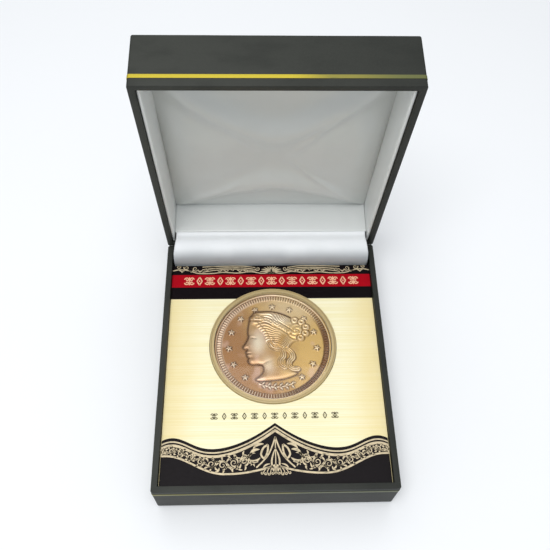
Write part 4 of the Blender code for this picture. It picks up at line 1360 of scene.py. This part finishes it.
class COIN_OT_metalwork(CaseOperator, bpy.types.Operator):
    """Finish the hinge's steel, shape its springs bent to the open lid, and finish the plain inner parts"""

    bl_idname = "coin_case.metalwork"
    bl_label = "Hinge and inner parts"

    def build(self, scene):
        metal = steel()
        finishes = {
            metal: ("base_hinge_leaf", "lid_hinge_leaf", "hinge_pin", "base_rivet_left", "base_rivet_right",
                    "lid_rivet_left", "lid_rivet_right"),
            plastic("black_plastic", (0.025, 0.025, 0.026)): ("base_shell", "lid_shell"),
            fibre("foot_paper", (0.045, 0.045, 0.043), 0.3 * MM): ("foot_sheet",),
            fibre("black_board", (0.022, 0.022, 0.022), 0.4 * MM): ("insert_board",),
            fibre("grey_board", (0.42, 0.42, 0.40), 0.4 * MM): ("lid_pad_board",),
            fibre("white_foam", (0.80, 0.80, 0.77), 0.7 * MM, 0.08 * MM): ("insert_block",),
        }
        for finish, nodes in finishes.items():
            for name in nodes:
                data = frame["nodes"][name].data
                data.materials.clear()
                data.materials.append(finish)
        for side in ("left", "right"):
            self.spring(side, metal)

    def spring(self, side, metal):
        low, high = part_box(f"hinge_spring_{side}")
        inward = 2.0 + 0.1 + 0.5 + 0.15 + 0.15
        half_turn = OPEN_ANGLE / 2
        crest = Vector((AXIS.y - 1.95 * MM * math.cos(half_turn), AXIS.z + 1.95 * MM * math.sin(half_turn)))
        climb = [(inward, 7.5), (inward, 3.0), (inward + 0.05, 1.2), (2.75, -0.2)]
        path = [Vector((AXIS.y - i * MM, AXIS.z - d * MM)) for i, d in climb] + [crest]
        path += [lid_spot(i, d) for i, d in reversed(climb)]
        path = smooth_curve(path, 5)
        rows = []
        for i, p in enumerate(path):
            out = sideways(path, i) * 0.14 * MM
            for x, q in ((low.x, p + out), (high.x, p + out), (high.x, p - out), (low.x, p - out)):
                rows.append((x, q.x, q.y))
        piece = Piece(f"bowed_spring_{side}")
        piece.add(rows, bar_faces(len(path), 4))
        obj = piece.make(metal)
        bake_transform(obj)
        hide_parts(f"hinge_spring_{side}")


class COIN_OT_stage(CaseOperator, bpy.types.Operator):
    """Set the floor, the lights and the camera"""

    bl_idname = "coin_case.stage"
    bl_label = "Stage"

    def build(self, scene):
        s = scene.case_stage
        g = Graph("pale_floor", Specular_IOR_Level=0.2)
        soft = g.cloud(180 * MM, 2.0)
        g.set(Base_Color=g.mix(s.floor, tuple(c * 0.97 for c in s.floor), soft), Roughness=0.7 + soft * 0.1)
        floor = Piece("floor")
        floor.add([(-2, -2, -0.0002), (2, -2, -0.0002), (2, 2, -0.0002), (-2, 2, -0.0002)], [(0, 1, 2, 3)])
        floor.make(g.material)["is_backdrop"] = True
        world = bpy.data.worlds.new("studio")
        world.use_nodes = True
        sky = world.node_tree.nodes["Background"]
        sky.inputs[0].default_value = (*s.sky, 1.0)
        sky.inputs[1].default_value = s.sky_strength
        scene.world = world
        scene.view_settings.view_transform = "Standard"
        self.lamp(scene, "high_front", (-0.07, -0.16, 0.64), (0, 0.01, 0.03), 0.36, s.key)
        self.lamp(scene, "soft_back", (-0.02, 0.30, 0.58), (0, 0.01, 0.02), 0.60, s.back)
        camera = bpy.data.objects.new("camera", bpy.data.cameras.new("camera"))
        camera.data.lens = s.lens
        camera.data.sensor_width = 36.0
        camera.data.clip_start = 0.01
        yaw, pitch, roll = (math.radians(a) for a in (-3.47, 31.80, 2.56))
        turn = Matrix.Rotation(yaw, 4, "Z") @ Matrix.Rotation(pitch, 4, "X") @ Matrix.Rotation(roll, 4, "Z")
        camera.matrix_world = Matrix.Translation((-0.00603, -0.08893, 0.20721)) @ turn
        scene.collection.objects.link(camera)
        scene.camera = camera

    def lamp(self, scene, name, place, target, size, power):
        data = bpy.data.lights.new(name, "AREA")
        data.energy, data.size = power, size
        lamp = bpy.data.objects.new(name, data)
        aim = (Vector(target) - Vector(place)).to_track_quat("-Z", "Y").to_matrix().to_4x4()
        lamp.matrix_world = Matrix.Translation(place) @ aim
        scene.collection.objects.link(lamp)


STEPS = (
    COIN_OT_coverings,
    COIN_OT_foil_lines,
    COIN_OT_card,
    COIN_OT_coin,
    COIN_OT_capsule,
    COIN_OT_lid_lining,
    COIN_OT_hinge_cloth,
    COIN_OT_metalwork,
    COIN_OT_stage,
)


class COIN_PT_panel(bpy.types.Panel):
    """Steps and settings of the coin case"""

    bl_idname = "COIN_PT_panel"
    bl_label = "Coin Case"
    bl_space_type = "VIEW_3D"
    bl_region_type = "UI"
    bl_category = "Coin Case"

    def draw(self, context):
        for step in STEPS:
            self.layout.operator(step.bl_idname)
        for name, group in SETTINGS.items():
            box = self.layout.box()
            box.label(text=group.__doc__)
            for field in group.__annotations__:
                box.prop(getattr(context.scene, name), field)


def register():
    for cls in (*SETTINGS.values(), *STEPS, COIN_PT_panel):
        bpy.utils.register_class(cls)
    for name, group in SETTINGS.items():
        setattr(bpy.types.Scene, name, PointerProperty(type=group))


def unregister():
    for name in SETTINGS:
        delattr(bpy.types.Scene, name)
    for cls in reversed((*SETTINGS.values(), *STEPS, COIN_PT_panel)):
        bpy.utils.unregister_class(cls)


def main():
    register()
    for step in STEPS:
        area, name = step.bl_idname.split(".")
        getattr(getattr(bpy.ops, area), name)()
    boxes = {"cad": cad_box, "visual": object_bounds()}
    {name: [list(low), list(high)] for name, (low, high) in boxes.items()}


if __name__ == "__main__":
    main()
